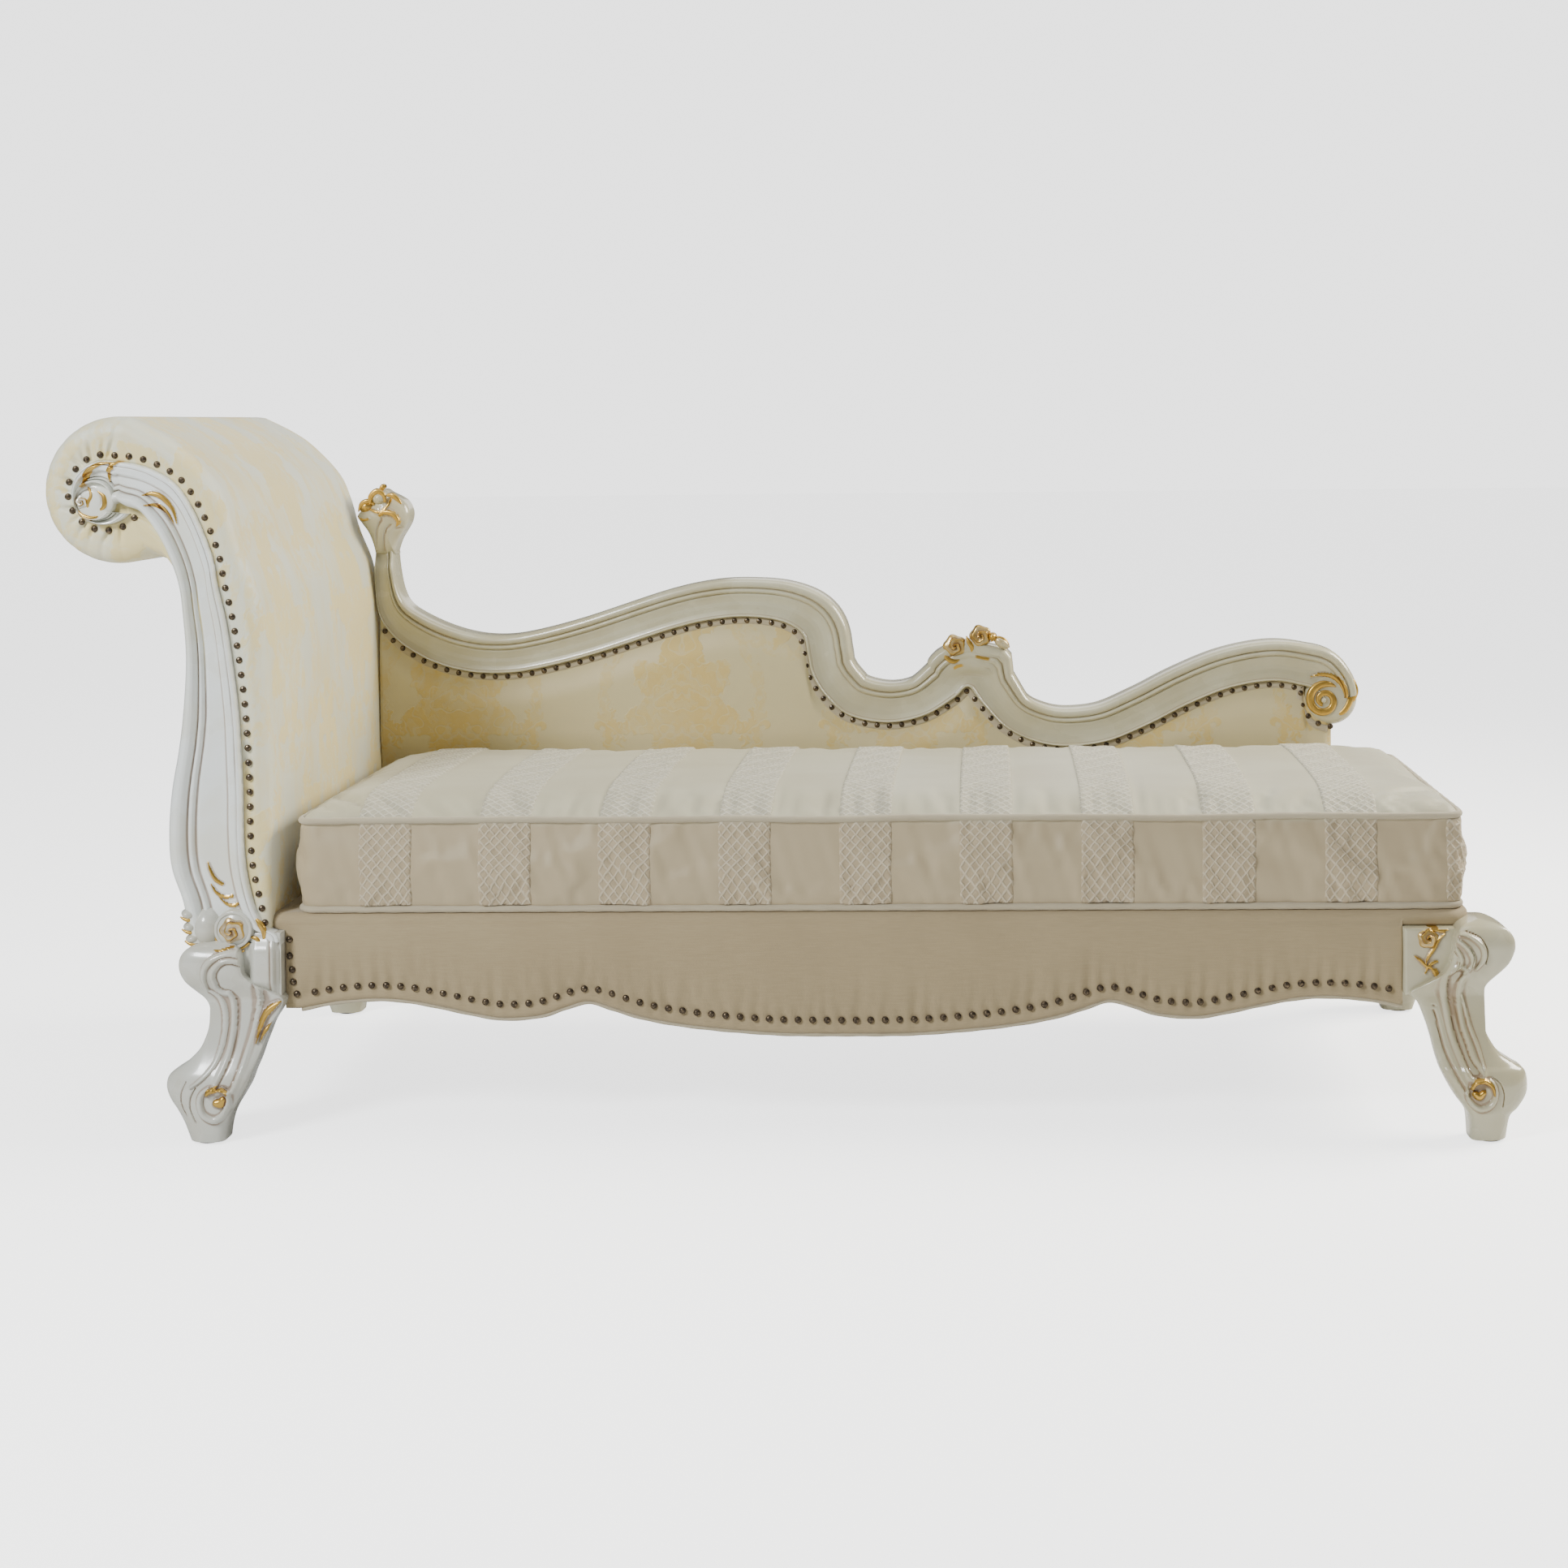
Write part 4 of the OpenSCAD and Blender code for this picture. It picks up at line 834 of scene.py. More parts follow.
def rose(shape, centre, radius, y, height, gold=0.75):
    """Disc in polar rings with a five-lobed edge: rolled petals climb over a low dome and drop
    at each petal's rim. Rims are gilded, and the rest is a thin wash of the gold."""
    angle = np.linspace(0, 2 * np.pi, 96, endpoint=False)[None]
    r = np.linspace(0, 1, 34)[:, None]
    edge = radius * (0.93 + 0.07 * np.cos(5 * angle + centre[0]))
    arm = petals(r, angle + centre[0] * 0.1)
    up = 0.62 * (1 - r**2) + 0.46 * arm**1.5 * (1 - ease(arm, 0.86, 1)) * (1 - 0.4 * r)
    up = up * height * (1 - r**12) ** 0.5
    top = np.stack([centre[0] + edge * r * np.cos(angle), y - up,
                    centre[1] + edge * r * np.sin(angle)], 2)
    foot = top[-1:] + [0, 4, 0]
    back = np.zeros_like(foot) + [centre[0], y + 4, centre[1]]
    points = np.concatenate([top, foot, back], 0)
    rims = np.maximum(ease(arm, 0.62, 0.8) * (1 - 0.3 * r), 0.46)
    paint = np.concatenate([np.clip(gold * rims, 0, 1), np.zeros((2, angle.size))])
    shape.grid(points, across=True, reach=(2, 2), gilded=paint)


# %% [markdown]
# ## The carved facing
# A board carved as one long S: a broad bead along its left edge, a finer one beside it, a
# sunk panel and a raised border along the nails. At the top the mouldings wind round an
# eye. A spiral drawn by two edges gives all of it: rows join the left edge to the right edge,
# and where the board ends, the rows go on, one end on the eye and the other on the rim.

# %% The facing's rows
# A moulding is a list of (millimetres from the edge, share of the board's thickness).
ROWS_UP, ROWS_ROUND = 380, 190
FACE_Y, FACE_T = -328.0, 28.0
EYE = np.array([-992.0, 920.0])
turns = np.linspace(0, 1, ROWS_ROUND + 1)[1:]
rim_turn = 72 + 246 * turns
eye_turn = -8 + 330 * turns
eye_r = 30 - 8 * turns
eye_way = np.stack([np.cos(np.radians(eye_turn)), np.sin(np.radians(eye_turn))], 1)
rim_way = np.stack([np.cos(np.radians(rim_turn)), np.sin(np.radians(rim_turn))], 1)
edge_l = np.vstack([
    resample(smooth(HEAD + ([(-119, -13)] + FACING_LEFT)), ROWS_UP),
    EYE + eye_way * eye_r[:, None],
])
edge_r = np.vstack([
    resample(smooth(HEAD + (FACING_TOE + FACING_RIGHT[1:])), ROWS_UP),
    VOLUTE + VOLUTE_R * rim_way,
])
LEFT_MOULD = [
    (0, 0.3), (0.6, 0.5), (2.2, 0.7), (4.5, 0.86), (8, 0.97), (11, 0.99), (14.5, 0.93),
    (17.5, 0.78), (19, 0.6), (19.8, 0.5), (20.8, 0.55), (22, 0.66), (24, 0.71), (26, 0.66),
    (27.4, 0.52), (28.4, 0.43), (29.5, 0.46), (31, 0.54), (34, 0.58), (40, 0.58),
]
RIGHT_MOULD = [
    (40, 0.58), (23, 0.58), (21.5, 0.6), (20.4, 0.7), (19, 0.8), (17.5, 0.84), (9, 0.86),
    (8, 0.8), (7.2, 0.82), (6, 0.86), (2.5, 0.84), (0.8, 0.66), (0, 0.35),
]


def facing_height(from_left, from_right, wide):
    """Share of the thickness: the left mouldings for 37 mm, then the right ones. The left ones
    stretch up to 1.4 times where the board is wide, and all shrink where it is narrow."""
    shrunk = np.minimum(1, wide / 66)
    stretched = np.minimum(1.4, wide / 66)
    left = np.interp(from_left / stretched, *np.array(LEFT_MOULD).T)
    right = np.interp(from_right / shrunk, *np.array(RIGHT_MOULD)[::-1].T)
    return np.where(from_left / stretched < 37, left, right)


across = np.linspace(0, 1, 92)[None]
span = edge_r - edge_l
wide = np.linalg.norm(span, axis=1)[:, None]
flat = edge_l[:, None] + span[:, None] * across[..., None]
share = facing_height(wide * across, wide * (1 - across), wide)

# %% Gilded strokes on the facing
FACING_STROKES = [
    ([(-833, 398, 0.8), (-829, 384, 2.4), (-822, 372, 3.2), (-813, 366, 3)], 3.2, True),
    ([(-829, 366, 0.8), (-821, 353, 2.4), (-809, 347, 2.8), (-798, 348, 2.4)], 3.0, True),
    ([(-818, 348, 0.6), (-808, 338, 2.2), (-797, 334, 2.8), (-789, 338, 2.6)], 3.0, True),
    ([(-920, 930, 1), (-906, 932, 3.6), (-892, 926, 4), (-877, 909, 3), (-871, 888, 0.8)],
     3.8, True),
    ([(-916, 915, 1), (-900, 915, 3), (-886, 905, 3), (-876, 888, 1)], 3.0, True),
    ([(-962, 977, 0.8), (-982, 975, 3), (-999, 963, 4.4), (-1005, 944, 4), (-1000, 930, 1)],
     3.8, True),
    ([(-930, 976, 0.8), (-944, 981, 2.4), (-958, 977, 3.4), (-968, 964, 3.6), (-968, 950, 1)],
     3.6, True),
]
rise, gold = carved(flat.reshape(-1, 2), FACING_STROKES)
height = share * FACE_T + rise.reshape(share.shape)
walls = stand(flat, FACE_Y)
whole = np.concatenate([walls[:, :1], stand(flat, FACE_Y - height), walls[:, -1:]], 1)
gold = np.pad(gold.reshape(share.shape), ((0, 0), (1, 1)))
facing_shape = Shape()
close_ends(facing_shape, facing_shape.grid(whole, across=True, reach=(1, 3), gilded=gold))


def dome_grid(centre, radius, base_y, rise_of):
    """Round boss facing the front: 30 rings from the middle out, then back to base_y.

    rise_of(share of the radius, angle) gives the height over base_y.
    """
    angle = np.linspace(0, 2 * np.pi, 120, endpoint=False)[None]
    r = np.linspace(0, 1, 30)[:, None] ** 0.85
    x = centre[0] + radius * r * np.cos(angle)
    z = centre[1] + radius * r * np.sin(angle)
    y = base_y - rise_of(r + 0 * angle, angle + 0 * r)
    top = np.stack([x, y, z], 2)
    foot = top[-1:].copy()
    foot[..., 1] = base_y
    back = np.zeros_like(foot) + [centre[0], base_y, centre[1]]
    return np.concatenate([top, foot, back], 0)


def eye_rise(r, angle):
    """A knob with a rolled rim, and a spiral groove that starts at the rim's right side."""
    turn = (r * 1.15 - angle / 6.283) % 1.0
    groove = np.exp(-(((turn - 0.5) / 0.07) ** 2)) * ease(r, 0.35, 0.5) * (1 - ease(r, 0.9, 1))
    return 15 + 7.5 * np.sqrt(np.clip(1 - r**2, 0, 1)) - 2.2 * groove


facing_shape.grid(dome_grid(EYE, 29.0, FACE_Y, eye_rise), across=True, reach=(2, 2))
rose(facing_shape, (-1008, 921), 10.5, FACE_Y - 20, 9, 0.9)
for drawn in (
    [(-1016, 910, 1), (-1008, 901, 3.4), (-996, 897, 3.6), (-985, 900, 1)],
    [(-999, 942, 1), (-994, 930, 3.2), (-999, 918, 3.6), (-996, 906, 1)],
    [(-985, 936, 1), (-976, 928, 3.2), (-976, 914, 3.4), (-986, 907, 1)],
):
    comma(facing_shape, drawn, FACE_Y - 19.5, 1.2)
piece(
    "carved_scroll_facing", facing_shape, painted_light_lacquer, "scroll_facing volute_rose",
    crisp=60,
)

# %% [markdown]
# ## The crest rail
# The back's top rail is one long moulding that swings up and down and ends in a volute. A
# moulding is a profile carried along a path: each row stands across the path, as wide as the
# rail is there, and each column keeps its share of the width. Finial, roses and leaves are
# small grids of their own on top of it.

# %% The rail's path and profile
# A row of the path is (x, z, width of the rail), and a row of the profile is (share of the
# width, share of the moulding's height).
DECK = np.array([-745.0, 318.0, 0.0])
CREST = [
    (-7, 494, 32), (-6, 442, 36), (-2, 394, 46), (14, 360, 56), (45, 330, 62),
    (95, 302, 66), (155, 286, 65), (215, 283, 64), (275, 291, 64), (369, 314, 65),
    (509, 358, 66), (585, 374, 66), (645, 376, 66), (695, 367, 70), (727, 346, 76),
    (736, 310, 76), (743, 277, 75), (765, 241, 74), (805, 207, 72), (871, 194, 69),
    (935, 206, 67), (985, 235, 74), (1009, 254, 80), (1030, 230, 74), (1070, 187, 65),
    (1120, 161, 65), (1175, 152, 65), (1245, 160, 65), (1315, 188, 66), (1385, 223, 66),
    (1455, 250, 67), (1525, 261, 69), (1578, 253, 71), (1597, 246, 72), (1609, 236, 64),
    (1613, 224, 58),
]
crest_line = resample(smooth(DECK + CREST, 12), 640)
CREST_MOULD = [
    (0, 0.3), (0.012, 0.6), (0.03, 0.74), (0.05, 0.68), (0.068, 0.5), (0.077, 0.4),
    (0.086, 0.46), (0.12, 0.38), (0.2, 0.26), (0.3, 0.22), (0.4, 0.25), (0.5, 0.36),
    (0.58, 0.5), (0.612, 0.5), (0.622, 0.44), (0.632, 0.56), (0.65, 0.8), (0.68, 0.92),
    (0.71, 0.92), (0.737, 0.78), (0.748, 0.6), (0.758, 0.54), (0.768, 0.66), (0.79, 0.86),
    (0.83, 0.97), (0.875, 1), (0.92, 0.92), (0.955, 0.72), (0.98, 0.42), (1, 0),
]
RAIL_Y, RAIL_LIP, RAIL_BACK = 289.2, 12.5, 332.5

# %% The rail's outer edge
# It lies to the left of the path. Near the head end it is evened out by a moving mean, and
# beside the peak it is pushed out into a shoulder.
outer = crest_line[:, :2] + left_of(crest_line) * crest_line[:, 2:]
window = np.hanning(43)
window /= window.sum()
padded = np.pad(outer, ((21, 21), (0, 0)), "reflect", reflect_type="odd")
soft = np.stack([np.convolve(padded[:, k], window, "valid") for k in (0, 1)], 1)
calm = 1 - ease(crest_line[:, 0], -560, -440)[:, None]
outer = outer + (soft - outer) * calm
shoulder = np.exp(-(((outer - [327, 624]) ** 2).sum(1) / 19**2))[:, None]
outer = outer + shoulder * [9, 10]

# %% The rail's surface
# A row is the profile across the path, then the top and the back of the rail. At the head end
# its front is set back by 12 mm, so that it runs out behind the finial.
out = outer - crest_line[:, :2]
width = np.linalg.norm(out, axis=1)[:, None]
out = out / width
share = np.concatenate([np.linspace(0, 0.6, 34), np.linspace(0.61, 1, 56)])[None]
reach = width * share
flat = crest_line[:, None, :2] + out[:, None] * reach[..., None]
lip = np.interp(share + 0 * reach, *np.array(CREST_MOULD).T)
plain = 0.5 + 0.45 * np.sqrt(np.clip(1 - ((share - 0.7) / 0.42) ** 2, 0, 1))
peak = np.exp(-(((flat[..., 0] - 272) / 34) ** 4)) * ease(flat[..., 1], 588, 606)
lip = (lip + (plain - lip) * peak) * RAIL_LIP
CREST_STROKES = [
    ([(78, 612, 1), (70, 620, 2), (66, 628, 2.2), (68, 640, 1.5)], -3.0, False),
    ([(246, 619, 1), (250, 610, 5), (252, 601, 1)], 3.0, True),
    ([(284, 638, 1), (287, 629, 4), (290, 620, 1)], 3.0, True),
    ([(304, 655, 1), (314, 655, 4), (326, 648, 5), (334, 638, 2)], 3.6, True),
    ([(301, 600, 0.8), (298, 615, 1), (304, 627, 1), (314, 628, 1), (320, 618, 1)], -1.6, False),
    ([(846, 586, 1), (862, 590, 3), (880, 588, 4), (897, 576, 5), (905, 558, 4), (903, 545, 1)],
     3.0, True),
]
rise, gold = carved(flat.reshape(-1, 2), CREST_STROKES)
lip = lip + rise.reshape(lip.shape)
sink = 12 * ease(flat[..., 1], 780, 812) * (flat[..., 0] < -640)
front = stand(flat, RAIL_Y - lip + sink)
back = front[:, ::-1][:, ::6].copy()
back[..., 1] = RAIL_BACK
round_top = front[:, -1:].copy()
whole = np.concatenate([front, round_top + [0, 14, 0], round_top + [0, 28, 0], back], 1)
hidden = whole.shape[1] - lip.shape[1]
gold = np.pad(gold.reshape(lip.shape), ((0, 0), (0, hidden)))
crest_shape = Shape()
close_ends(crest_shape, crest_shape.grid(whole, across=True, reach=(0, 3), gilded=gold))

# %% Volute at the foot end, finial at the head end
END, END_R = np.array([880.0, 549.0]), 46.0


def end_volute(r, angle):
    """Round knob: as deep as the rail, its rim rounded off by a sixth-power curve."""
    return (RAIL_BACK - RAIL_Y + 6) * (0.6 + 0.4 * np.sqrt(np.clip(1 - r**6, 0, 1))) + 2


knob = dome_grid(END, END_R, RAIL_BACK + 1.5, end_volute)
crest_shape.grid(knob, across=True, reach=(2, 2))
turn = np.linspace(0, 1, 60)
angle = np.radians(48 + 560 * turn)
reach = 31 - 24 * turn**0.8
scroll = np.stack([868 + reach * np.cos(angle), 546 + reach * np.sin(angle),
                   8.0 - 4.2 * turn - 7.2 * np.exp(-turn * 18)], 1)
comma(crest_shape, scroll, RAIL_Y - 6.5, 0.9, 0.95, count=110)
boss(crest_shape, (868, 546), (5, 5), RAIL_Y - 6, 6, 0.0)
for drawn in (
    [(884, 597, 1), (900, 592, 5.5), (914, 578, 7), (921, 560, 6), (918, 544, 2)],
    [(905, 575, 1), (913, 560, 4.5), (911, 542, 6), (900, 526, 5), (886, 521, 1)],
):
    comma(crest_shape, drawn, RAIL_Y - 3, 1.1, 0.9)

# The finial is a rounded body in rings round its own middle, with leaves laid on it.
CURL = [
    (-752, 806), (-757, 826), (-765, 845), (-775, 859), (-783, 872), (-774, 884), (-764, 890),
    (-757, 902), (-748, 914), (-738, 919), (-726, 912), (-712, 905), (-700, 896), (-693, 880),
    (-694, 865), (-700, 852), (-712, 832), (-719, 812), (-720, 806),
]
MID_Y = 300.0
curl = resample(smooth(CURL + CURL[:1], 5), 121)[:-1]
rings = np.sin(np.linspace(0, np.pi / 2, 20))[:, None, None]
flat = curl.mean(0) + (curl - curl.mean(0))[None] * rings
bulge = 21 * (1 - rings[..., 0] ** 2.6) ** 0.5 + 0 * flat[..., 0]
CURL_STROKES = [
    ([(-735, 806, 1.5), (-734, 826, 2), (-731, 845, 2), (-722, 858, 2)], -2.4, False),
    ([(-748, 812, 1.5), (-747, 832, 2), (-745, 850, 2), (-736, 868, 2)], -2.4, False),
    ([(-742, 872, 1), (-731, 879, 3.4), (-717, 876, 4.4), (-708, 864, 3.4), (-711, 855, 1)],
     3.5, True),
    ([(-757, 884, 2), (-741, 879, 2.5), (-727, 890, 2.5), (-722, 903, 2)], 3.0, True),
    ([(-783, 872, 1), (-772, 866, 2.4), (-760, 868, 2)], 3.0, True),
    ([(-700, 846, 1), (-706, 852, 2.4), (-714, 851, 2)], -2.0, False),
]
rise, gold = carved(flat.reshape(-1, 2), CURL_STROKES)
bulge = bulge + rise.reshape(bulge.shape)
front = stand(flat, MID_Y - bulge)
back = np.concatenate([front[::-1][::3], front[:1]])
back[..., 1] = 331.0
gold = np.concatenate([gold.reshape(bulge.shape), np.zeros(back.shape[:2])])
crest_shape.grid(np.concatenate([front, back]), across=True, reach=(2, 2), gilded=gold)
boss(crest_shape, (-766, 889), (15, 13), MID_Y, 20, 0.55)
boss(crest_shape, (-742, 903), (14, 13), MID_Y - 8, 18)
for drawn, forward, lift in (
    ([(-778, 880, 1), (-772, 893, 4), (-760, 898, 4.5), (-750, 892, 2)], 16, 1.2),
    ([(-757, 893, 2), (-755, 906, 5), (-744, 915, 5.5), (-733, 908, 4), (-731, 896, 2)], 20, 1.1),
    ([(-740, 914, 3), (-736, 922, 5), (-730, 924, 3)], 14, 1.2),
    ([(-728, 908, 2), (-718, 908, 4.5), (-709, 901, 4), (-703, 893, 1.5)], 20, 1.1),
    ([(-742, 873, 1), (-731, 879, 3.4), (-717, 876, 4.4), (-708, 864, 3.4), (-711, 855, 1)],
     24, 1.0),
):
    comma(crest_shape, drawn, MID_Y - forward, lift)
print("crest rail rows:", len(crest_line))

# %% Roses on the peak
for centre, radius in (((242, 643), 20.5), ((286, 660), 19.5)):
    rose(crest_shape, centre, radius, RAIL_Y - 8, 16, 1.12)
boss(crest_shape, (322, 648), (15, 9), RAIL_Y - 8, 9, 0.45, -35)
boss(crest_shape, (306, 659), (8, 7), RAIL_Y - 8, 12, 0.6, 20)
for drawn in (
    [(222, 632, 1), (229, 622, 4), (240, 617, 4), (250, 620, 1)],
    [(262, 660, 1), (266, 650, 4), (271, 641, 4), (270, 630, 1)],
    [(303, 650, 1), (314, 656, 4), (327, 651, 4.5), (335, 640, 1)],
):
    comma(crest_shape, drawn, RAIL_Y - 10, 1.1, 0.75)
piece(
    "carved_crest_rail", crest_shape, pearl,
    "crest_rail crest_finial crest_roses crest_volute", crisp=60,
)

# %% [markdown]
# ## Legs
# A cabriole leg is carved from one block: a knee that swells outwards, a thin ankle and a
# scrolled toe. Each level of the leg is a rounded section of its own reach to all four
# sides, so rows of sections, joined from the foot to the block, give its body. On the front,
# panels and scrolls are pressed in along lines drawn on it.

# %% Sections of a leg
LEG_LEVELS = [
    (0, 27, 27, 27, 27), (24, 36, 31, 29, 28), (43, 46, 38, 30.5, 30), (60, 57, 48, 30.5, 34),
    (78, 62, 58, 30, 40), (95, 56, 64, 25, 46), (112, 32, 71, 16, 52), (130, 14, 77, 8, 57),
    (147, 6, 83, 3, 62), (166, 1, 90, -1, 68), (185, 0, 101, -4, 76), (200, 8, 104, -6, 84),
    (212, 20, 86, -2, 84), (224, 31, 64, 4, 84), (238, 40, 50, 10, 84), (251, 43, 47, 12, 84),
    (264, 41, 46, 11, 84), (275, 33, 43, 5, 84), (282, 21, 36, -4, 84), (286, 8, 26, -14, 70),
    (287, 0, 10, -24, 50),
]
FOOT_LEVELS = [
    (0, 27, 26, 27, 27), (30, 33, 28, 29, 28), (43, 45, 33, 30, 30), (61, 56, 46, 30, 34),
    (79, 58, 56, 29, 40), (96, 54, 64, 24, 46), (105, 40, 67, 18, 50), (119, 20, 71, 12, 54),
    (141, 5, 76, 4, 60), (162, -2, 82, 0, 66), (188, -3, 92, -4, 74), (204, -1, 104, -6, 82),
    (216, 3, 86, -3, 84), (231, 16, 62, 4, 84), (248, 33, 50, 11, 84), (264, 41, 46, 14, 84),
    (276, 43, 44, 15, 84), (288, 40, 42, 13, 84), (299, 31, 36, 6, 84), (305, 19, 28, -3, 84),
    (308, 6, 16, -14, 70), (309, 0, 6, -24, 40),
]


def leg_body(foot_x, toe, front, rows=210, columns=190, drawn=LEG_LEVELS):
    """Section at each level: |x|^p + |y|^p = 1 stretched to the level's four reaches, with
    p = 2 on the toe's outer corner and 4 on the others. A level is (height, reach outwards,
    inwards, to the front, to the rear). toe and front are -1 or 1."""
    levels = smooth(drawn, 12)
    height = np.linspace(0, drawn[-1][0], rows)
    out, inner, face, rear = (
        np.interp(height, levels[:, 0], levels[:, k])[:, None] for k in (1, 2, 3, 4)
    )
    z = 4 + height * 290 / 295
    share = np.linspace(0, 1, columns, endpoint=False)
    angle = 2 * np.pi * (share - 0.1 * np.sin(2 * np.pi * (share - 0.25)))
    cos, sin = np.cos(angle), np.sin(angle)
    power = np.where((cos > 0) & (sin > 0), 2.0, 4.0)
    scale = (np.abs(cos) ** power + np.abs(sin) ** power) ** (-1 / power)
    cx, cy = cos * scale, sin * scale
    inset = np.minimum(face - 6, 0)
    x = cx * np.where(cx > 0, out, inner)
    y = 364.5 + inset + cy * np.where(cy > 0, face - inset, rear + inset)
    points = np.stack([foot_x + toe * x, front * y, np.repeat(z[:, None], columns, 1)], 2)
    return points, cy


def stroke_px(origin, unit, lines):
    """Turn strokes read off an enlarged view into millimetres: X grows and Z falls with them."""
    made = []
    for drawn, height, gilded in lines:
        d = np.array(drawn, float)
        made.append((np.stack([origin[0] + unit * d[:, 0], origin[1] - unit * d[:, 1],
                               unit * d[:, 2]], 1), height, gilded))
    return made


# The legs' strokes are drawn in two enlarged views. A view is its corner in millimetres, and
# how many millimetres one of its steps is long.
HEAD_VIEW = ((-906.0, 402.1), 0.32456)
HEAD_PANEL = [
    (285, 540), (280, 510), (290, 480), (315, 455), (350, 450), (385, 465), (420, 500),
    (440, 550), (445, 620), (440, 680), (425, 760), (400, 850), (380, 930), (352, 992),
    (325, 980), (300, 985), (315, 950), (335, 900), (355, 830), (365, 740), (365, 660),
    (355, 610), (335, 580), (310, 575), (290, 560),
]
HEAD_STROKES = [
    ([(238, 575, 6), (226, 520, 12), (238, 462, 14), (280, 422, 14), (340, 404, 14),
      (400, 422, 14), (448, 470, 12), (468, 545, 10), (470, 640, 6)], 3.4, False),
    ([(240, 572, 6), (285, 610, 12), (312, 680, 14), (310, 780, 13), (282, 880, 12),
      (232, 945, 9), (180, 985, 4)], 2.6, False),
    ([(160, 960, 2), (138, 1010, 3), (138, 1060, 3), (160, 1110, 2)], -1.6, False),
    ([(205, 985, 3), (182, 1030, 3.5), (180, 1080, 3.5), (205, 1140, 3)], -1.8, False),
    ([(262, 985, 6), (232, 1015, 12), (226, 1060, 15), (245, 1105, 16), (290, 1125, 17),
      (330, 1100, 16), (350, 1055, 14), (352, 1005, 9)], 4.2, False),
    ([(348, 1010, 4), (335, 990, 11), (305, 984, 14), (272, 996, 14), (258, 1010, 8)], 5.0, True),
    ([(300, 1048, 18), (318, 1048, 24), (330, 1035, 18)], 4.6, True),
    ([(455, 812, 2), (468, 745, 10), (486, 690, 15), (515, 655, 16), (552, 630, 6)], 4.2, True),
    ([(470, 800, 2), (492, 752, 9), (522, 728, 12), (552, 708, 5)], 3.6, True),
    ([(418, 318, 2), (438, 345, 9), (450, 372, 9), (444, 405, 2)], 3.0, True),
    ([(414, 340, 2), (430, 375, 7), (434, 410, 7), (440, 432, 2)], 3.0, True),
    ([(272, 392, 2), (300, 392, 5), (340, 382, 5), (385, 372, 2)], 2.0, True),
]
FOOT_VIEW = ((830.7, 367.0), 0.2921)
FOOT_PANEL = [
    (402, 470), (400, 540), (412, 640), (430, 740), (465, 850), (500, 930), (540, 925),
    (500, 860), (480, 790), (452, 700), (440, 600), (446, 500), (470, 450), (450, 430),
    (420, 450),
]
FOOT_STROKES = [
    ([(385, 300, 5), (430, 325, 10), (455, 375, 13), (440, 425, 10), (405, 450, 6)], 3.0, False),
    ([(395, 275, 5), (450, 290, 11), (500, 340, 14), (512, 400, 12), (470, 450, 8)], 3.6, False),
    ([(430, 250, 5), (500, 262, 10), (555, 310, 13), (565, 370, 12), (530, 425, 6)], 4.0, False),
    ([(400, 320, 2), (440, 355, 3), (448, 400, 3), (430, 440, 2)], -1.8, False),
    ([(415, 268, 2), (480, 300, 3), (515, 360, 3), (505, 430, 2)], -1.8, False),
    ([(480, 240, 2), (550, 270, 3), (582, 330, 3), (575, 400, 2)], -1.8, False),
    ([(330, 610, 3), (352, 720, 6), (380, 830, 8), (430, 940, 9), (480, 1020, 8)], -2.2, False),
    ([(470, 560, 5), (500, 700, 9), (535, 800, 9), (560, 900, 6)], 2.2, False),
    ([(470, 985, 5), (478, 1040, 11), (520, 1082, 15), (570, 1075, 15), (602, 1035, 13),
      (604, 980, 9), (580, 945, 6)], 4.0, False),
    ([(598, 1020, 3), (588, 975, 11), (555, 952, 15), (515, 955, 14), (492, 985, 9)], 4.8, True),
    ([(505, 1010, 16), (525, 1022, 22), (545, 1005, 16)], 4.6, True),
    ([(640, 1080, 2), (648, 1020, 3), (630, 965, 3), (590, 935, 2)], -1.6, False),
]
FOOT_SPRAY = [
    ([(290, 260, 4), (340, 250, 9), (385, 258, 8), (410, 250, 3)], 3.0, True),
    ([(395, 270, 3), (365, 300, 8), (345, 340, 9), (315, 385, 8), (300, 420, 3)], 3.6, True),
    ([(248, 380, 3), (275, 400, 8), (300, 425, 9), (330, 440, 7), (355, 480, 8), (385, 505, 3)],
     3.6, True),
    ([(300, 465, 3), (315, 430, 8), (345, 410, 8), (362, 405, 3)], 3.2, True),
    ([(320, 440, 3), (350, 450, 9), (362, 480, 6), (350, 500, 2)], 3.0, True),
]


def carve_leg(points, cy, view, panel, strokes):
    """Push the front of a leg out by 1.5 times its strokes. The panel is sunk by 2 mm, with a
    groove 1.6 mm deep along its outline and a bead 3.4 mm high 5 mm outside it."""
    at = points[..., [0, 2]].reshape(-1, 2)
    rim = np.array([(view[0][0] + view[1] * x, view[0][1] - view[1] * z) for x, z in panel])
    rim = smooth(np.vstack([rim, rim[:1]]), 5)
    rise, gold = carved(at, stroke_px(*view, strokes))
    far, _ = to_line(at, rim)
    within = inside(at, rim)
    bead = 3.4 * np.exp(-(((far - 5) / 3.6) ** 2))
    rise = np.where(within, -2.0, 1.5 * rise + bead)
    rise -= 1.6 * np.exp(-((far / 1.6) ** 2))
    facing_out = (ease(cy, 0.25, 0.6) + 0 * points[..., 0]).ravel()
    push = (rise * facing_out).reshape(points.shape[:2])
    points[..., 1] -= push
    return (gold * facing_out * ~within).reshape(points.shape[:2])


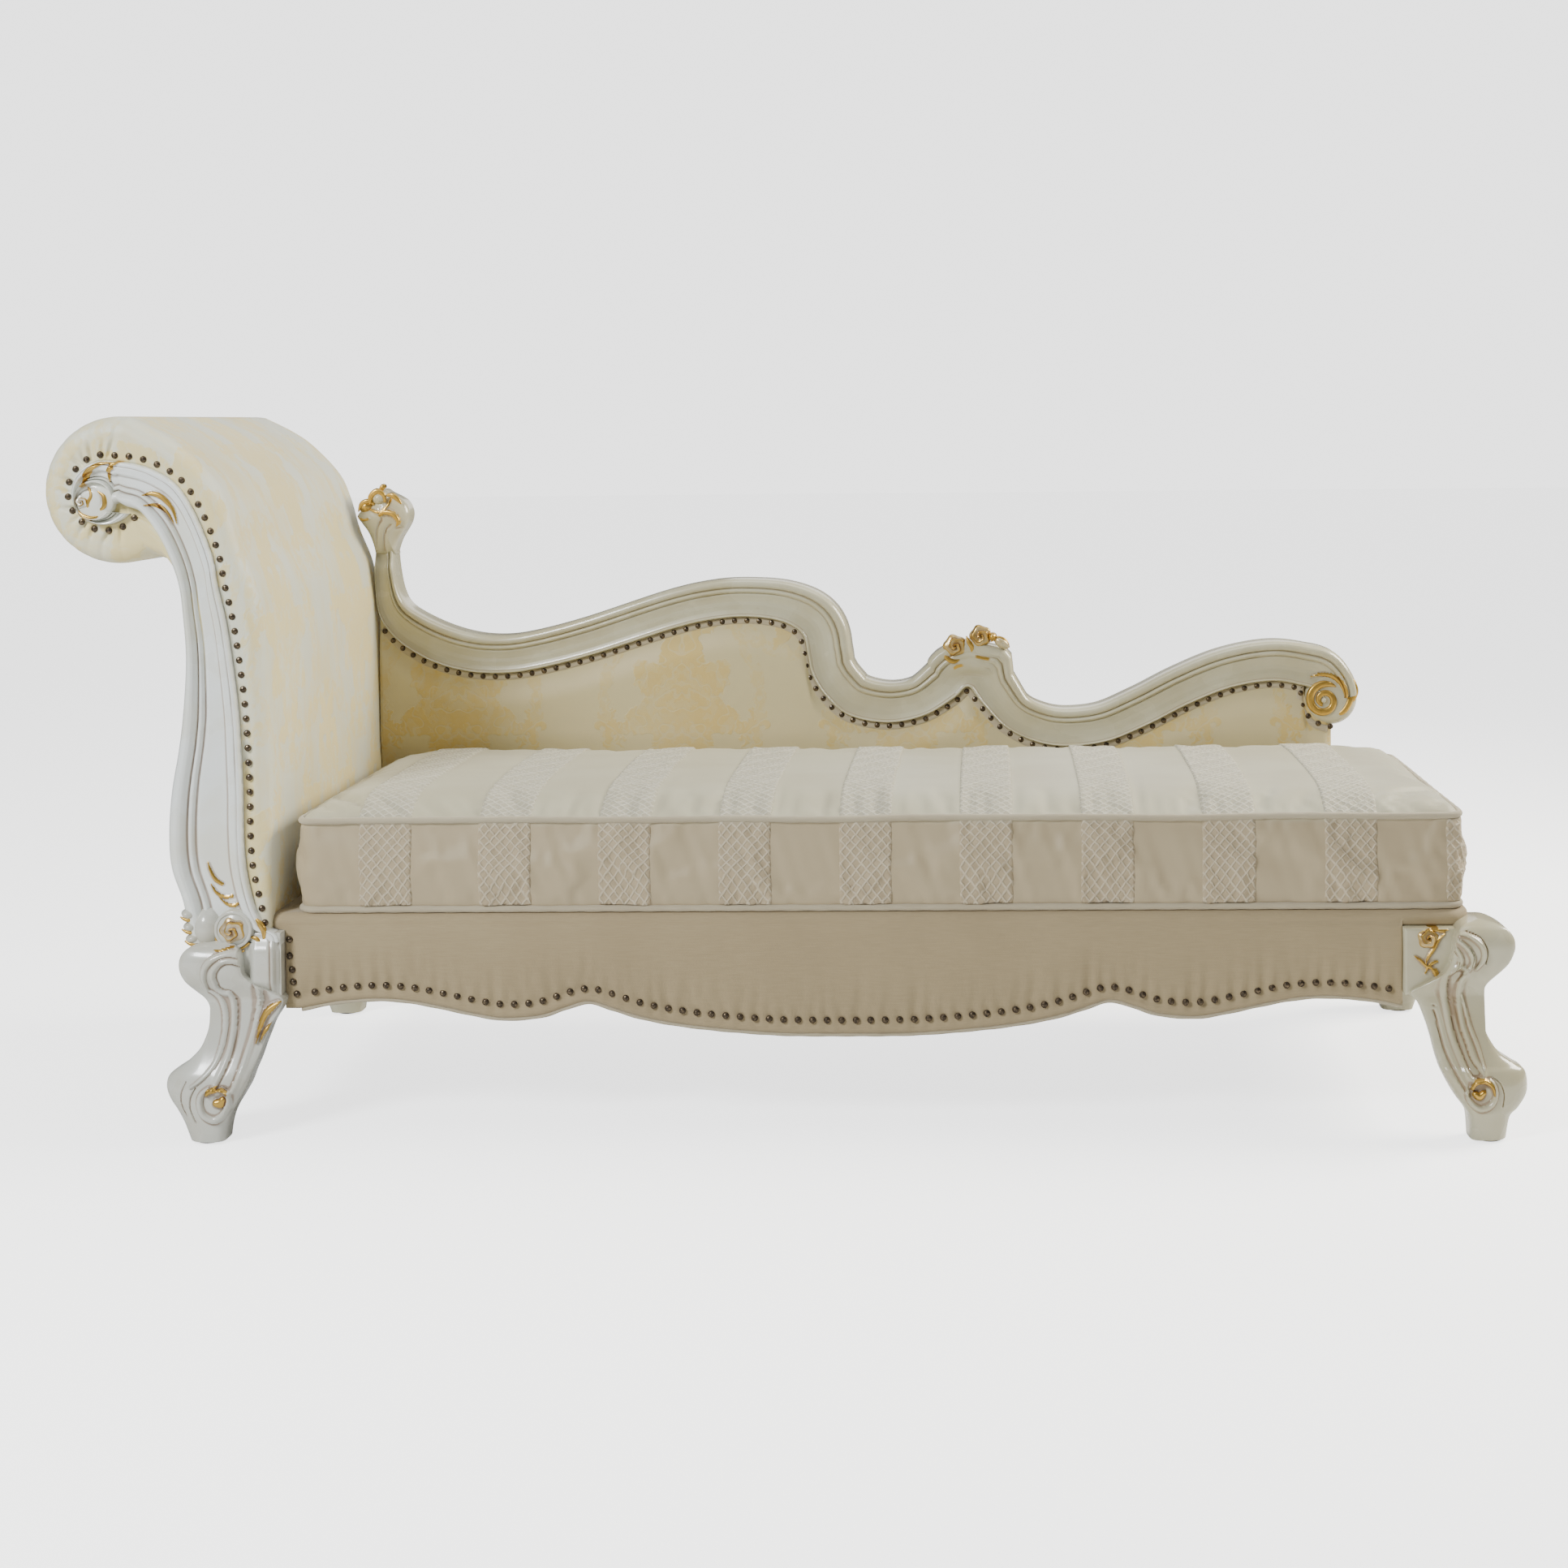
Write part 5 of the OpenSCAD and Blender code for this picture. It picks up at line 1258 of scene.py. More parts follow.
def wood_block(shape, low, high, strokes=(), cell=1.6):
    """Block with a carved front: the front is a grid in X and Z, the sides run back from it."""
    nx, nz = (int((high[k] - low[k]) / cell) for k in (0, 2))
    x, z = np.meshgrid(np.linspace(low[0], high[0], nx), np.linspace(low[2], high[2], nz))
    rise, gold = carved(np.stack([x.ravel(), z.ravel()], 1), strokes)
    edge = np.minimum(np.minimum(x - low[0], high[0] - x), np.minimum(z - low[2], high[2] - z))
    y = low[1] - rise.reshape(x.shape) + 1.2 * (1 - ease(edge, 0, 2.0))
    front = np.stack([x, y, z], 2)
    sides = front.copy()
    sides[..., 1] = high[1]
    grid = np.concatenate([front, sides[:, ::-1]], 1)
    gold = np.concatenate([gold.reshape(x.shape), np.zeros(x.shape)], 1)
    close_ends(shape, shape.grid(grid, across=True, reach=(2, 2), gilded=gold))


# %% Front leg at the head end
# Its block carries a stile between the leg and the apron, pushed up to 13 mm forwards.
FOOT_HEAD, FOOT_END, STILE_PUSH = -828.0, 1000.0, 13
head_leg = Shape()
points, cy = leg_body(FOOT_HEAD, -1, -1)
gold = carve_leg(points, cy, HEAD_VIEW, HEAD_PANEL, HEAD_STROKES)
close_ends(head_leg, head_leg.grid(points, across=True, reach=(3, 3), gilded=gold))
stile = stroke_px(*HEAD_VIEW, [
    ([(468, 330, 3), (505, 372, 3.5), (505, 620, 3)], -2.0, False),
    ([(520, 368, 4), (520, 500, 6), (520, 640, 4)], 1.6, False),
    ([(480, 310, 3), (538, 362, 3.5), (540, 640, 3)], -2.0, False),
])
block_start = len(head_leg.points)
wood_block(head_leg, (-840, -348, 200), (-728, -271, 295), stile)
block = head_leg.points[block_start:]
forward = ease(block[:, 0], -777, -762) * ease(block[:, 2], 203, 228)
forward *= 1 - 0.85 * ease(block[:, 2], 268, 293)
forward *= 1 - ease(block[:, 0], -743, -729)
block[:, 1] -= STILE_PUSH * forward * (block[:, 1] < -340)
piece("front_leg_head_end", head_leg, painted_cool_shade_lacquer, "front_head_leg", crisp=60)

# %% Front leg at the foot end
foot_leg = Shape()
points, cy = leg_body(FOOT_END, 1, -1, drawn=FOOT_LEVELS)
gold = carve_leg(points, cy, FOOT_VIEW, FOOT_PANEL, FOOT_STROKES)
close_ends(foot_leg, foot_leg.grid(points, across=True, reach=(3, 3), gilded=gold))
wood_block(foot_leg, (890, -348, 200), (985, -271, 295), stroke_px(*FOOT_VIEW, FOOT_SPRAY))
rose(foot_leg, (922.5, 281), 15.5, -348, 13, 1.1)
piece("front_leg_foot_end", foot_leg, pearl, "front_foot_leg leg_rose", crisp=60)

# %% Rear legs, plain
for node, foot_x, toe, x0, x1 in (
    ("rear_head_leg", FOOT_HEAD, -1, -840, -705),
    ("rear_foot_leg", FOOT_END, 1, 890, 985),
):
    rear_leg = Shape()
    points, _ = leg_body(foot_x, toe, 1, rows=120, columns=96)
    close_ends(rear_leg, rear_leg.grid(points, across=True, reach=(2, 2)))
    block_start = len(rear_leg.points)
    y_rear = min(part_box(node)[1][1] / MM, 328.0)
    wood_block(rear_leg, (x0, -y_rear, 200), (x1, -271, 295), cell=6)
    rear_leg.points[block_start:, 1] *= -1
    piece("plain_" + node, rear_leg, pearl, node, crisp=50)

# %% Rose and lobes where the facing meets the leg
CORNER_AT = (-795, 301)
corner = Shape()
boss(corner, CORNER_AT, (29, 29), -344, 17, rings=24, spokes=90)
circle = np.concatenate([arc(CORNER_AT, 25.0, 0, 360, 60), np.full((60, 1), 2.6)], 1)
comma(corner, circle, -353, 1.5, 0.0, count=70)
under = np.concatenate([arc(CORNER_AT, 29.5, 190, 320, 30), np.full((30, 1), 2.0)], 1)
comma(corner, under, -350, 1.5, 0.95, count=40)
rose(corner, CORNER_AT, 19.5, -357, 14, 1.04)
boss(corner, (-836, 302), (23, 30), -334, 28, rings=20, spokes=60)
for k, (x, z, a, b) in enumerate([(-861, 323, 11, 7), (-859, 305, 10, 7), (-855, 288, 11, 7)]):
    boss(corner, (x, z), (a, b), -346, 14, 0.0, -15 + 10 * k)
    comma(corner, [(x - 11, z - 3, 1), (x - 1, z - 8, 2.6), (x + 11, z - 6, 1)], -353, 1.2)
for drawn in (
    [(-765, 318, 1), (-757, 309, 4), (-751, 297, 4), (-752, 283, 1)],
    [(-772, 290, 1), (-762, 287, 3.4), (-755, 277, 3.4), (-757, 266, 1)],
    [(-818, 274, 1), (-806, 268, 3), (-792, 266, 3), (-780, 270, 1)],
):
    comma(corner, drawn, -350, 1.2, 0.9)
piece("corner_rose", corner, painted_cool_shade_lacquer, "post_rose")

# %% [markdown]
# ## The base cover
# One linen cover wraps the seat base: it rolls over the deck's edge, falls down the front,
# and is pulled to a curved hem by nails. A flat wall would not look upholstered. The cover
# is a grid whose rows go round the base in plan and whose columns go from under the hem up
# the wall and over the deck. Nails pull the cloth in, and folds rise above them.

# %% The base cover's plan and hem
# Its rows start at the headrest, run along the front, round the foot end and back along the
# rear. The hem is lowest in front, ends at the rails behind and stops over the leg blocks.
# A row of the hem in front is (distance from its middle, rise over its lowest point).
APRON_HALF = [
    (0, 0), (95, 1), (190, 8), (260, 17), (308, 27), (343, 38), (378, 48), (413, 39), (448, 28),
    (500, 24), (542, 30), (589, 40), (636, 49), (685, 53), (745, 49), (797.5, 39),
]
half_hem = smooth(APRON_HALF, 10)
hem_line = np.vstack([half_hem[::-1] * [-1, 1], half_hem[1:]]) + [92.5, 141]
X0, X_BLOCK, X1 = -727.6, 889.7, 988.0
WALL_Y, BLOCK_Y, DECK_Z = 328, 270, 318
CORNER_X, CORNER_Y, CORNER_R = 958, 298, 30
RAIL_HEM, BLOCK_HEM = 191.0, 295.3
wall_front = np.stack([np.linspace(X0, CORNER_X, 330), np.full(330, -WALL_Y)], 1)
wall_front = np.vstack([wall_front, [[X_BLOCK - 0.3, -WALL_Y], [X_BLOCK + 0.3, -WALL_Y]]])
wall_front = wall_front[np.argsort(wall_front[:, 0])]
wall_end = np.stack([np.full(84, X1), np.linspace(-CORNER_Y, CORNER_Y, 84)], 1)
wall_end = np.vstack([wall_end, [[X1, y] for y in (-270.3, -269.7, 269.7, 270.3)]])
wall_end = wall_end[np.argsort(wall_end[:, 1])]
wall_rear = wall_front[::-1] * [1, -1]
plan = np.vstack([
    wall_front, arc((CORNER_X, -CORNER_Y), CORNER_R, -85, -5, 10),
    wall_end, arc((CORNER_X, CORNER_Y), CORNER_R, 5, 85, 10), wall_rear,
])
hem = np.interp(plan[:, 0], *hem_line.T)
front_rows = plan[:, 1] < 0.1 - WALL_Y
rear_rows = plan[:, 1] > WALL_Y - 0.1
hem = np.where(rear_rows, RAIL_HEM, hem)
hem = np.where(plan[:, 0] > X_BLOCK, BLOCK_HEM, hem)
hem = np.where((plan[:, 0] > X1 - 0.1) & (np.abs(plan[:, 1]) < BLOCK_Y), RAIL_HEM, hem)
outwards = -left_of(plan)
corner_turn = plan[:, 0] > CORNER_X
inner_dir = np.where(corner_turn[:, None], outwards, [0, 1] * np.sign(plan[:, 1:]))
held = np.clip(plan, [X0, -CORNER_Y], [CORNER_X, CORNER_Y])
round_dir = (plan - held) / CORNER_R
round_dir = np.where(np.linalg.norm(round_dir, axis=1)[:, None] > 0.99, round_dir, inner_dir)
gap_along = along(plan)[:, None]


def base_cover():
    """Columns: inner wall 12 mm behind the outer one, round hem, outer wall, a quarter circle at
    the top (9 mm, in front 15 mm), then the deck: the plan drawn in by deep on every side, and
    its last row bowed by 12 * (1 - (y / 298)^2) at the foot end. Between the nails the cloth is
    gathered: 1.4 * (cos(2 pi * run / 21) - 0.6) * exp(-((height over them - 5) / 17)^2).
    """
    share = np.linspace(0, 1, 44)[None]
    low = hem[:, None]
    bend = 9 + 6 * ease(-plan[:, 1:], 300, 327.9)
    wall_top = DECK_Z - bend
    z_wall = low + 3 + (wall_top - low - 3) * share
    over_nails = z_wall - low - 20
    is_front = front_rows[:, None] & (plan[:, :1] < X_BLOCK)
    tall = ease(wall_top - low, 40, 90)
    up_wall = np.clip(over_nails / (wall_top - low - 12), 0, 1)
    belly = 5.5 * np.sin(np.pi * up_wall) ** 0.8 * tall
    fold = ripples(gap_along + 0 * share, 11, (42, 27.5, 63, 84), 3.4)
    fold = np.abs(fold) * np.exp(-((over_nails - 22) / 34) ** 2) * is_front * -1.0
    tuck = (np.cos(6.283 * gap_along / 21.0) - 0.6) * is_front
    tuck = tuck * np.exp(-(((over_nails - 5) / 17) ** 2))
    slow = ripples(gap_along + 0.3 * z_wall, 3, (310, 190, 130), 1.0)
    hem_roll = 2.2 * np.exp(-(((z_wall - low - 7) / 4.5) ** 2)) * is_front
    out = belly + fold + tuck * 1.4 + slow * tall + hem_roll
    out = out * np.where(front_rows[:, None], ease(plan[:, :1] - X0, 8, 34), 1)
    out = out * (1 - ease(share, 0.93, 1.0)) - 0.6 * is_front
    turn = np.radians(np.linspace(0, 90, 9)[1:])[None]
    top_out = bend * (np.cos(turn) - 1)
    top_z = wall_top + bend * np.sin(turn)
    in_steps = -np.array([22, 36, 60, 90])[None] + 0 * gap_along
    inner = np.array([-30, -12.0, -12.0, -8.0])[None] + 0 * gap_along
    inner_top = 0 * low + 297
    inner_z = np.concatenate([inner_top, inner_top, low + 2, low + 0.2], 1)
    offset = np.concatenate([inner, 0 * low - 2.5, out, top_out, in_steps], 1)
    z = np.concatenate([inner_z, low, z_wall, top_z, DECK_Z + 0 * in_steps], 1)
    flat = plan[:, None] + round_dir[:, None] * offset[..., None]
    deep = (-offset - CORNER_R)[..., None]
    reach = np.array([CORNER_X - X0, CORNER_Y])
    part = (held[:, None] - [X0, 0]) / reach
    mitred = [X0, 0] + part * (reach - deep)
    mitred[..., 0] += 12 * (1 - part[..., 1] ** 2) * (deep[..., 0] > 45)
    flat = np.where(deep > 0, mitred, flat)
    points = np.concatenate([flat, z[..., None]], 2)
    over_rail = 17 * ease(z, 294.8, 295.8)
    near_start = 1 - ease(gap_along, 0, 9)
    near_end = 1 - ease(gap_along[-1] - gap_along, 0, 9)
    points[..., 0] -= over_rail * near_start + over_rail * near_end
    return points


# %% The base cover and what is sewn and nailed to it
cover = base_cover()
base_shape = Shape()
index = base_shape.grid(cover, around=True)
close_ends(base_shape, index.T)
base = piece(
    "linen_base_cover", base_shape, linen,
    "apron_cover foot_end_cover rear_apron_cover deck_cover deck_padding"
)


def tube(shape, line, radius, spokes=12, closed=False):
    """Cord along a line that is nowhere steep: a circle across the line at each of its points,
    with its axes level and at right angles to that."""
    step = np.gradient(line, axis=0)
    if closed:
        step = np.roll(line, -1, 0) - np.roll(line, 1, 0)
    step /= np.linalg.norm(step, axis=1)[:, None]
    side = np.cross(step, [0.0, 0.0, 1.0])
    side /= np.linalg.norm(side, axis=1)[:, None]
    up = np.cross(side, step)
    angle = np.linspace(0, 2 * np.pi, spokes, endpoint=False)[None, :, None]
    radius = np.reshape(radius, (-1, 1, 1))
    ring = side[:, None] * np.cos(angle) + up[:, None] * np.sin(angle)
    index = shape.grid(line[:, None] + radius * ring, around=closed, across=True)
    if not closed:
        close_ends(shape, index)


studs = Shape()
for x, z in ((-721, 281), (-721, 257), (-717.5, 237), (-716, 219), (-711, 201.5)):
    boss(studs, (x, z), (5, 5), -328.3, 3.6, spokes=16, rings=7)
piece("corner_nails", studs, brass)
hem_shape = Shape()
HEM_POINTS = 420
edge = resample(hem_line, HEM_POINTS)
hem_x = np.clip(edge[:, 0], X0, X_BLOCK)
line = np.stack([hem_x, np.full(HEM_POINTS, -323.0), edge[:, 1] - 2.2], 1)
tube(hem_shape, line, 3.0 + 0.25 * np.sin(np.arange(HEM_POINTS) * 0.55))
piece("hem_piping", hem_shape, piping_cloth, "apron_hem_welt")

# %% [markdown]
# ## The back
# The low back is padded cloth stretched from the crest rail to the deck, round the foot end
# and over the rear. It is one grid again: rows go round the back in plan, columns go up.

# %% Back upholstery
FRONT_Y, MIDDLE_Y, REAR_Y, BACK_FOOT = 289.5, 308.75, 328.0, 318.3
lower_edge = crest_line[:, :2]
free = lower_edge[lower_edge[:, 0] < 836]
rim = arc(END, END_R, 173, 272, 40)
top_line = np.vstack([free, rim])
x_front = np.concatenate([np.linspace(-744, 790, 300), np.linspace(794, 866, 25)])
front_plan = np.stack([x_front, np.full(len(x_front), FRONT_Y)], 1)
turn = np.radians(np.linspace(-82, 82, 16))
end_plan = np.stack([866 + 17.0 * np.cos(turn), MIDDLE_Y + 19.25 * np.sin(turn)], 1)
rear_plan = np.stack([x_front[::-1], np.full(len(x_front), REAR_Y)], 1)
back_plan = np.vstack([front_plan, end_plan, rear_plan])
order = np.argsort(top_line[:, 0], kind="stable")
top_z = np.interp(back_plan[:, 0], top_line[order, 0], top_line[order, 1])
under_volute = 553 - np.sqrt(np.clip(45.0**2 - (back_plan[:, 0] - 881) ** 2, 0, None))
top_z = np.where(back_plan[:, 0] > 835, under_volute, top_z)
share = np.linspace(0, 1, 60)[None]
z = BACK_FOOT + (top_z[:, None] + 3 - BACK_FOOT) * share
below_top = top_z[:, None] - z
run = along(back_plan)[:, None]
slack = ripples(run + 0.4 * z, 8, (260, 170, 110), 0.8) * ease(below_top, 11, 40)
puff = 7.0 * ease(below_top, 11, 60) * ease(z, 440, 500) + slack
puff = puff * (np.abs(back_plan[:, 1:] - MIDDLE_Y) > 17)
push = -left_of(back_plan)[:, None] * puff[..., None]
back_points = np.concatenate([back_plan[:, None] + push, z[..., None]], 2)
back_shape = Shape()
cloth = np.stack([run + back_plan[0, 0] + 0 * z, z], 2) * MM + [0.609, 0.02]
index = back_shape.grid(back_points, around=True, cloth=cloth)
close_ends(back_shape, index.T)
back = piece(
    "back_upholstery", back_shape, back_damask,
    "back_cover outside_back_cover back_padding back_burlap"
)

# %% Folded strip under the nails
gimp = Shape()
strip = np.vstack([free, rim[:-3]])
strip = resample(strip[(strip[:, 0] > -735)], 520)
side = -left_of(strip)
across = np.array([0.5, 1.0, 6.0, 11.5, 12.0, 12.0])[None, :, None]
thick = np.array([0.0, 0.9, 1.1, 0.8, 0.0, -1.5])
flat = strip[:, None] + side[:, None] * across
close_ends(gimp, gimp.grid(stand(flat, FRONT_Y - 0.2 - thick), across=True))
piece("back_nail_strip", gimp, piping_cloth)

# %% [markdown]
# ## Cloth that only shows from below and from the head end
# A thin black dust cloth is stapled under the frame and sags a little between the rails. The
# straps over the rails carry the deck. The head end's outer panel is pulled tight over its
# rail. All three are thin closed sheets.


# %% Dust cloth, webbing and the panel at the head end
def thin_sheet(shape, face, thick):
    """Closed sheet: the given grid, and the same grid moved by thick, joined round the edge."""
    back = (face + thick)[:, ::-1]
    close_ends(shape, shape.grid(np.concatenate([face, back], 1), across=True))


dust = Shape()
rows = np.concatenate([np.linspace(-839, -705.4, 20), np.linspace(-704.2, 889.2, 200),
                       np.linspace(890.4, 975, 14)])[:, None]
middle = (rows > -705) & (rows < 890)
low_y, high_y = np.where(middle, -286.5, -268.5), np.where(middle, 324.5, 268.5)
share = np.linspace(0, 1, 70)[None]
y = low_y + (high_y - low_y) * share
from_edge = np.minimum(np.minimum(share, 1 - share) * 560, np.minimum(rows + 839, 975 - rows))
sag = 5.0 * (1 - np.exp(-from_edge / 110)) + ripples(rows + 0.5 * y, 51, (150, 90, 60), 0.5)
sag = sag * ease(from_edge, 4, 40)
face = np.stack([rows + 0 * y, y, 197.4 - sag], 2)
thin_sheet(dust, face, np.array([0, 0, 1.0]))
piece("dust_cloth", dust, dust_cloth, "dust_cover")

webbing = Shape()
STRAP_FRONT, STRAP_REAR, STRAP_PITCH = -315.2, 305.0, 139.5
along_y = np.linspace(STRAP_FRONT, STRAP_REAR, 90)[None]
from_end = np.minimum(along_y - STRAP_FRONT, STRAP_REAR - along_y)
for number in range(12):
    x = -704.5 + STRAP_PITCH * number + np.linspace(0, 59.6, 9)[:, None]
    sag = 3.0 * (1 - np.exp(-from_end / 120)) + 0.25 * np.sin(along_y / 9 + 2 * number)
    sag = sag * ease(from_end, 14, 50)
    face = np.stack([x + 0 * along_y, along_y + 0 * x, 293.1 - sag + 0 * x], 2)
    thin_sheet(webbing, face, np.array([0, 0, 1.7]))
piece("jute_webbing", webbing, burlap_cloth, "seat_webbing")

panel = Shape()
PANEL_Y, PANEL_LOW, PANEL_HIGH = 269, 191.2, 294.5
y, z = np.meshgrid(
    np.linspace(-PANEL_Y, PANEL_Y, 120), np.linspace(PANEL_LOW, PANEL_HIGH, 40), indexing="ij"
)
from_edge = np.minimum(PANEL_Y - np.abs(y), np.minimum(z - PANEL_LOW, PANEL_HIGH - z))
puff = 5.5 * (1 - np.exp(-from_edge / 16)) + ripples(y + 0.6 * z, 61, (60, 95), 0.5)
puff = puff * ease(from_edge, 0, 12)
thin_sheet(panel, np.stack([-846.0 - puff, y, z], 2), np.array([5.8, 0, 0]))
piece("head_end_panel", panel, linen, "head_end_cover")

# %% [markdown]
# ## The seat cushion
# A long boxed cushion: a crowned top, a straight boxing strip that swells between two piped
# seams, and nine quilted bands that run from front to back and down the boxing. A tenth turns
# round the front corner of the foot end. Top, boxing and bottom are three grids that share
# their edges. A formula gives the stuffed shape. Then a cloth simulation blows it up from
# inside while its seams stay sewn: cloth that is a little too long for its seams has nowhere
# to go and folds, as on a real cushion.

# %% The cushion's surface
SEAT_LOW = np.array([-708.0, -317.0])
SEAT_HIGH = np.array([977.0, 277.5])
SEAM_LOW, SEAM_HIGH = 322.6, 452.0
NX, NY, NB = 301, 107, 23
BAND_FIRST, BAND_PITCH, BAND_W = -620.5, 175.0, 78.0


def seat_plan(a, b):
    """Rectangle with corners rounded by 24 mm: in a corner's square, the offset from the arc's
    middle keeps its direction, and its length becomes the larger of its two parts."""
    low, high = SEAT_LOW + 24, SEAT_HIGH - 24
    flat = np.stack([a, b], -1)
    middle = np.clip(flat, low, high)
    part = flat - middle
    size = np.linalg.norm(part, axis=-1, keepdims=True)
    square = np.abs(part).max(-1, keepdims=True)
    both = (np.abs(part).min(-1, keepdims=True) > 0)
    return middle + np.where(both, part * square / np.maximum(size, 1e-9), part)


def inwards(x, y):
    """Distance from the nearest of the four sides of the cushion's plan."""
    return np.minimum(np.minimum(x - SEAT_LOW[0], SEAT_HIGH[0] - x),
                      np.minimum(y - SEAT_LOW[1], SEAT_HIGH[1] - y))


def seat_top(x, y):
    """Height over the top seam: a steep share and a slow share of the crown, each
    1 - exp(-distance from the edge / length), with puckers that die away from the seam."""
    edge = inwards(x, y)
    rise = 24 * (0.56 * (1 - np.exp(-edge / 13)) + 0.44 * (1 - np.exp(-edge / 120)))
    pucker = ripples(x + 0.8 * y, 21, (31, 47, 23, 66), 2.0)
    pucker = pucker * np.exp(-edge / 34) * ease(edge, 0, 9)
    slow = ripples(x, 22, (260, 173, 410), 1.5) * ripples(y + 0.2 * x, 23, (380, 240), 1.0)
    valley = -1.1 * np.exp(-((((x - BAND_FIRST) % BAND_PITCH - BAND_W - 6) / 9) ** 2))
    return rise + (pucker + slow * ease(edge, 10, 80) + valley * ease(edge, 4, 30)) * 0.8


grid_x, grid_y = np.meshgrid(
    np.linspace(SEAT_LOW[0], SEAT_HIGH[0], NX), np.linspace(SEAT_LOW[1], SEAT_HIGH[1], NY),
    indexing="ij",
)
flat = seat_plan(grid_x, grid_y)
top = np.concatenate([flat, (SEAM_HIGH + seat_top(grid_x, grid_y))[..., None]], 2)
loop = np.concatenate([
    [(i, 0) for i in range(NX - 1)], [(NX - 1, j) for j in range(NY - 1)],
    [(i, NY - 1) for i in range(NX - 1, 0, -1)], [(0, j) for j in range(NY - 1, 0, -1)],
])
edge = inwards(grid_x, grid_y)
wave = 2.6 * ripples(grid_x + 0.7 * grid_y, 41, (640, 410, 270), 0.6)
top[..., 2] += wave * np.exp(-edge / 90)
seam = top[loop[:, 0], loop[:, 1]]
closed_seam = np.vstack([seam[-1:], seam, seam[:1]])
seam_out = -left_of(closed_seam)[1:-1]
share = np.linspace(0, 1, NB)[None]
run = along(np.vstack([seam, seam[:1]]))[:-1][:, None]
swell = 8.5 * np.sin(np.pi * share) ** 0.8
between_seams = np.sin(np.pi * share)
wrinkle = ripples(run + 40 * share, 31, (38, 57, 24, 90), 1.5) * between_seams
drag = ripples(run * 0.35 + 90 * share, 32, (44, 61), 0.9) * between_seams
swell = swell + wrinkle + drag
box_flat = seam[:, None, :2] + seam_out[:, None] * swell[..., None]
box_z = SEAM_LOW + (seam[:, 2:] - SEAM_LOW) * share
boxing = np.concatenate([box_flat, box_z[..., None]], 2)
bottom_z = np.where(edge < 0.01, SEAM_LOW, SEAM_LOW - 3.9 * ease(edge, -1, 12))
bottom = np.concatenate([flat, bottom_z[..., None]], 2)


# %% Blow the cushion up
def blown_up(grids, held, frames=18, pressure=3.0, extra=0.025):
    """How far a cloth simulation moves the points of the top, the boxing and the bottom, which
    share edges. Points with held = 1 stay; the cloth is longer by the share extra."""
    every = np.concatenate([grid.reshape(-1, 3) for grid in grids])
    keys = np.round(every * 20).astype(np.int64)
    _, first, to = np.unique(keys, axis=0, return_index=True, return_inverse=True)
    to = to.ravel()
    faces, start = [], 0
    for name, grid in zip(("top", "boxing", "bottom"), grids):
        index = to[start + np.arange(grid.shape[0] * grid.shape[1]).reshape(grid.shape[:2])]
        start += index.size
        if name == "boxing":
            index = np.vstack([index, index[:1]])
        quads = np.stack([index[:-1, :-1], index[1:, :-1], index[1:, 1:], index[:-1, 1:]], -1)
        quads = quads.reshape(-1, 4)
        faces.append(quads if name == "top" else quads[:, ::-1])
    mesh = bpy.data.meshes.new("blown_up")
    mesh.from_pydata((every[first] * MM).tolist(), [], np.concatenate(faces).tolist())
    cloth_object = bpy.data.objects.new("blown_up", mesh)
    bpy.context.scene.collection.objects.link(cloth_object)
    group = cloth_object.vertex_groups.new(name="sewn")
    weight = np.zeros(len(first))
    np.maximum.at(weight, to, np.concatenate([h.ravel() for h in held]))
    group.add(np.flatnonzero(weight > 0.5).tolist(), 1.0, "REPLACE")
    cloth = cloth_object.modifiers.new("cloth", "CLOTH")
    cloth.settings.vertex_group_mass = "sewn"
    cloth.settings.quality = 5
    cloth.settings.mass = 0.3
    cloth.settings.tension_stiffness = 15
    cloth.settings.compression_stiffness = 15
    cloth.settings.shear_stiffness = 6
    cloth.settings.bending_stiffness = 0.6
    cloth.settings.shrink_min = -extra
    cloth.settings.use_pressure = True
    cloth.settings.uniform_pressure_force = pressure
    cloth.settings.effector_weights.gravity = 0
    scene = bpy.context.scene
    for number in range(1, frames + 1):
        scene.frame_set(number)
    moved = cloth_object.evaluated_get(bpy.context.evaluated_depsgraph_get()).data
    made = np.empty(len(moved.vertices) * 3, np.float32)
    moved.vertices.foreach_get("co", made)
    bpy.data.objects.remove(cloth_object)
    scene.frame_set(1)
    shift = made.reshape(-1, 3)[to] / MM - every
    parts = np.split(shift, np.cumsum([g.shape[0] * g.shape[1] for g in grids])[:-1])
    return [part.reshape(grid.shape) for part, grid in zip(parts, grids)]


def twice(field, axis):
    """Points halfway between the given ones: (-a + 9b + 9c - d) / 16, kept with the old ones."""
    field = np.moveaxis(field, axis, 0)
    wide = np.concatenate([2 * field[:1] - field[1:2], field, 2 * field[-1:] - field[-2:-1]])
    middle = (9 * (wide[1:-2] + wide[2:-1]) - wide[:-3] - wide[3:]) / 16
    made = np.empty((2 * len(field) - 1,) + field.shape[1:])
    made[::2], made[1::2] = field, middle
    return np.moveaxis(made, 0, axis)


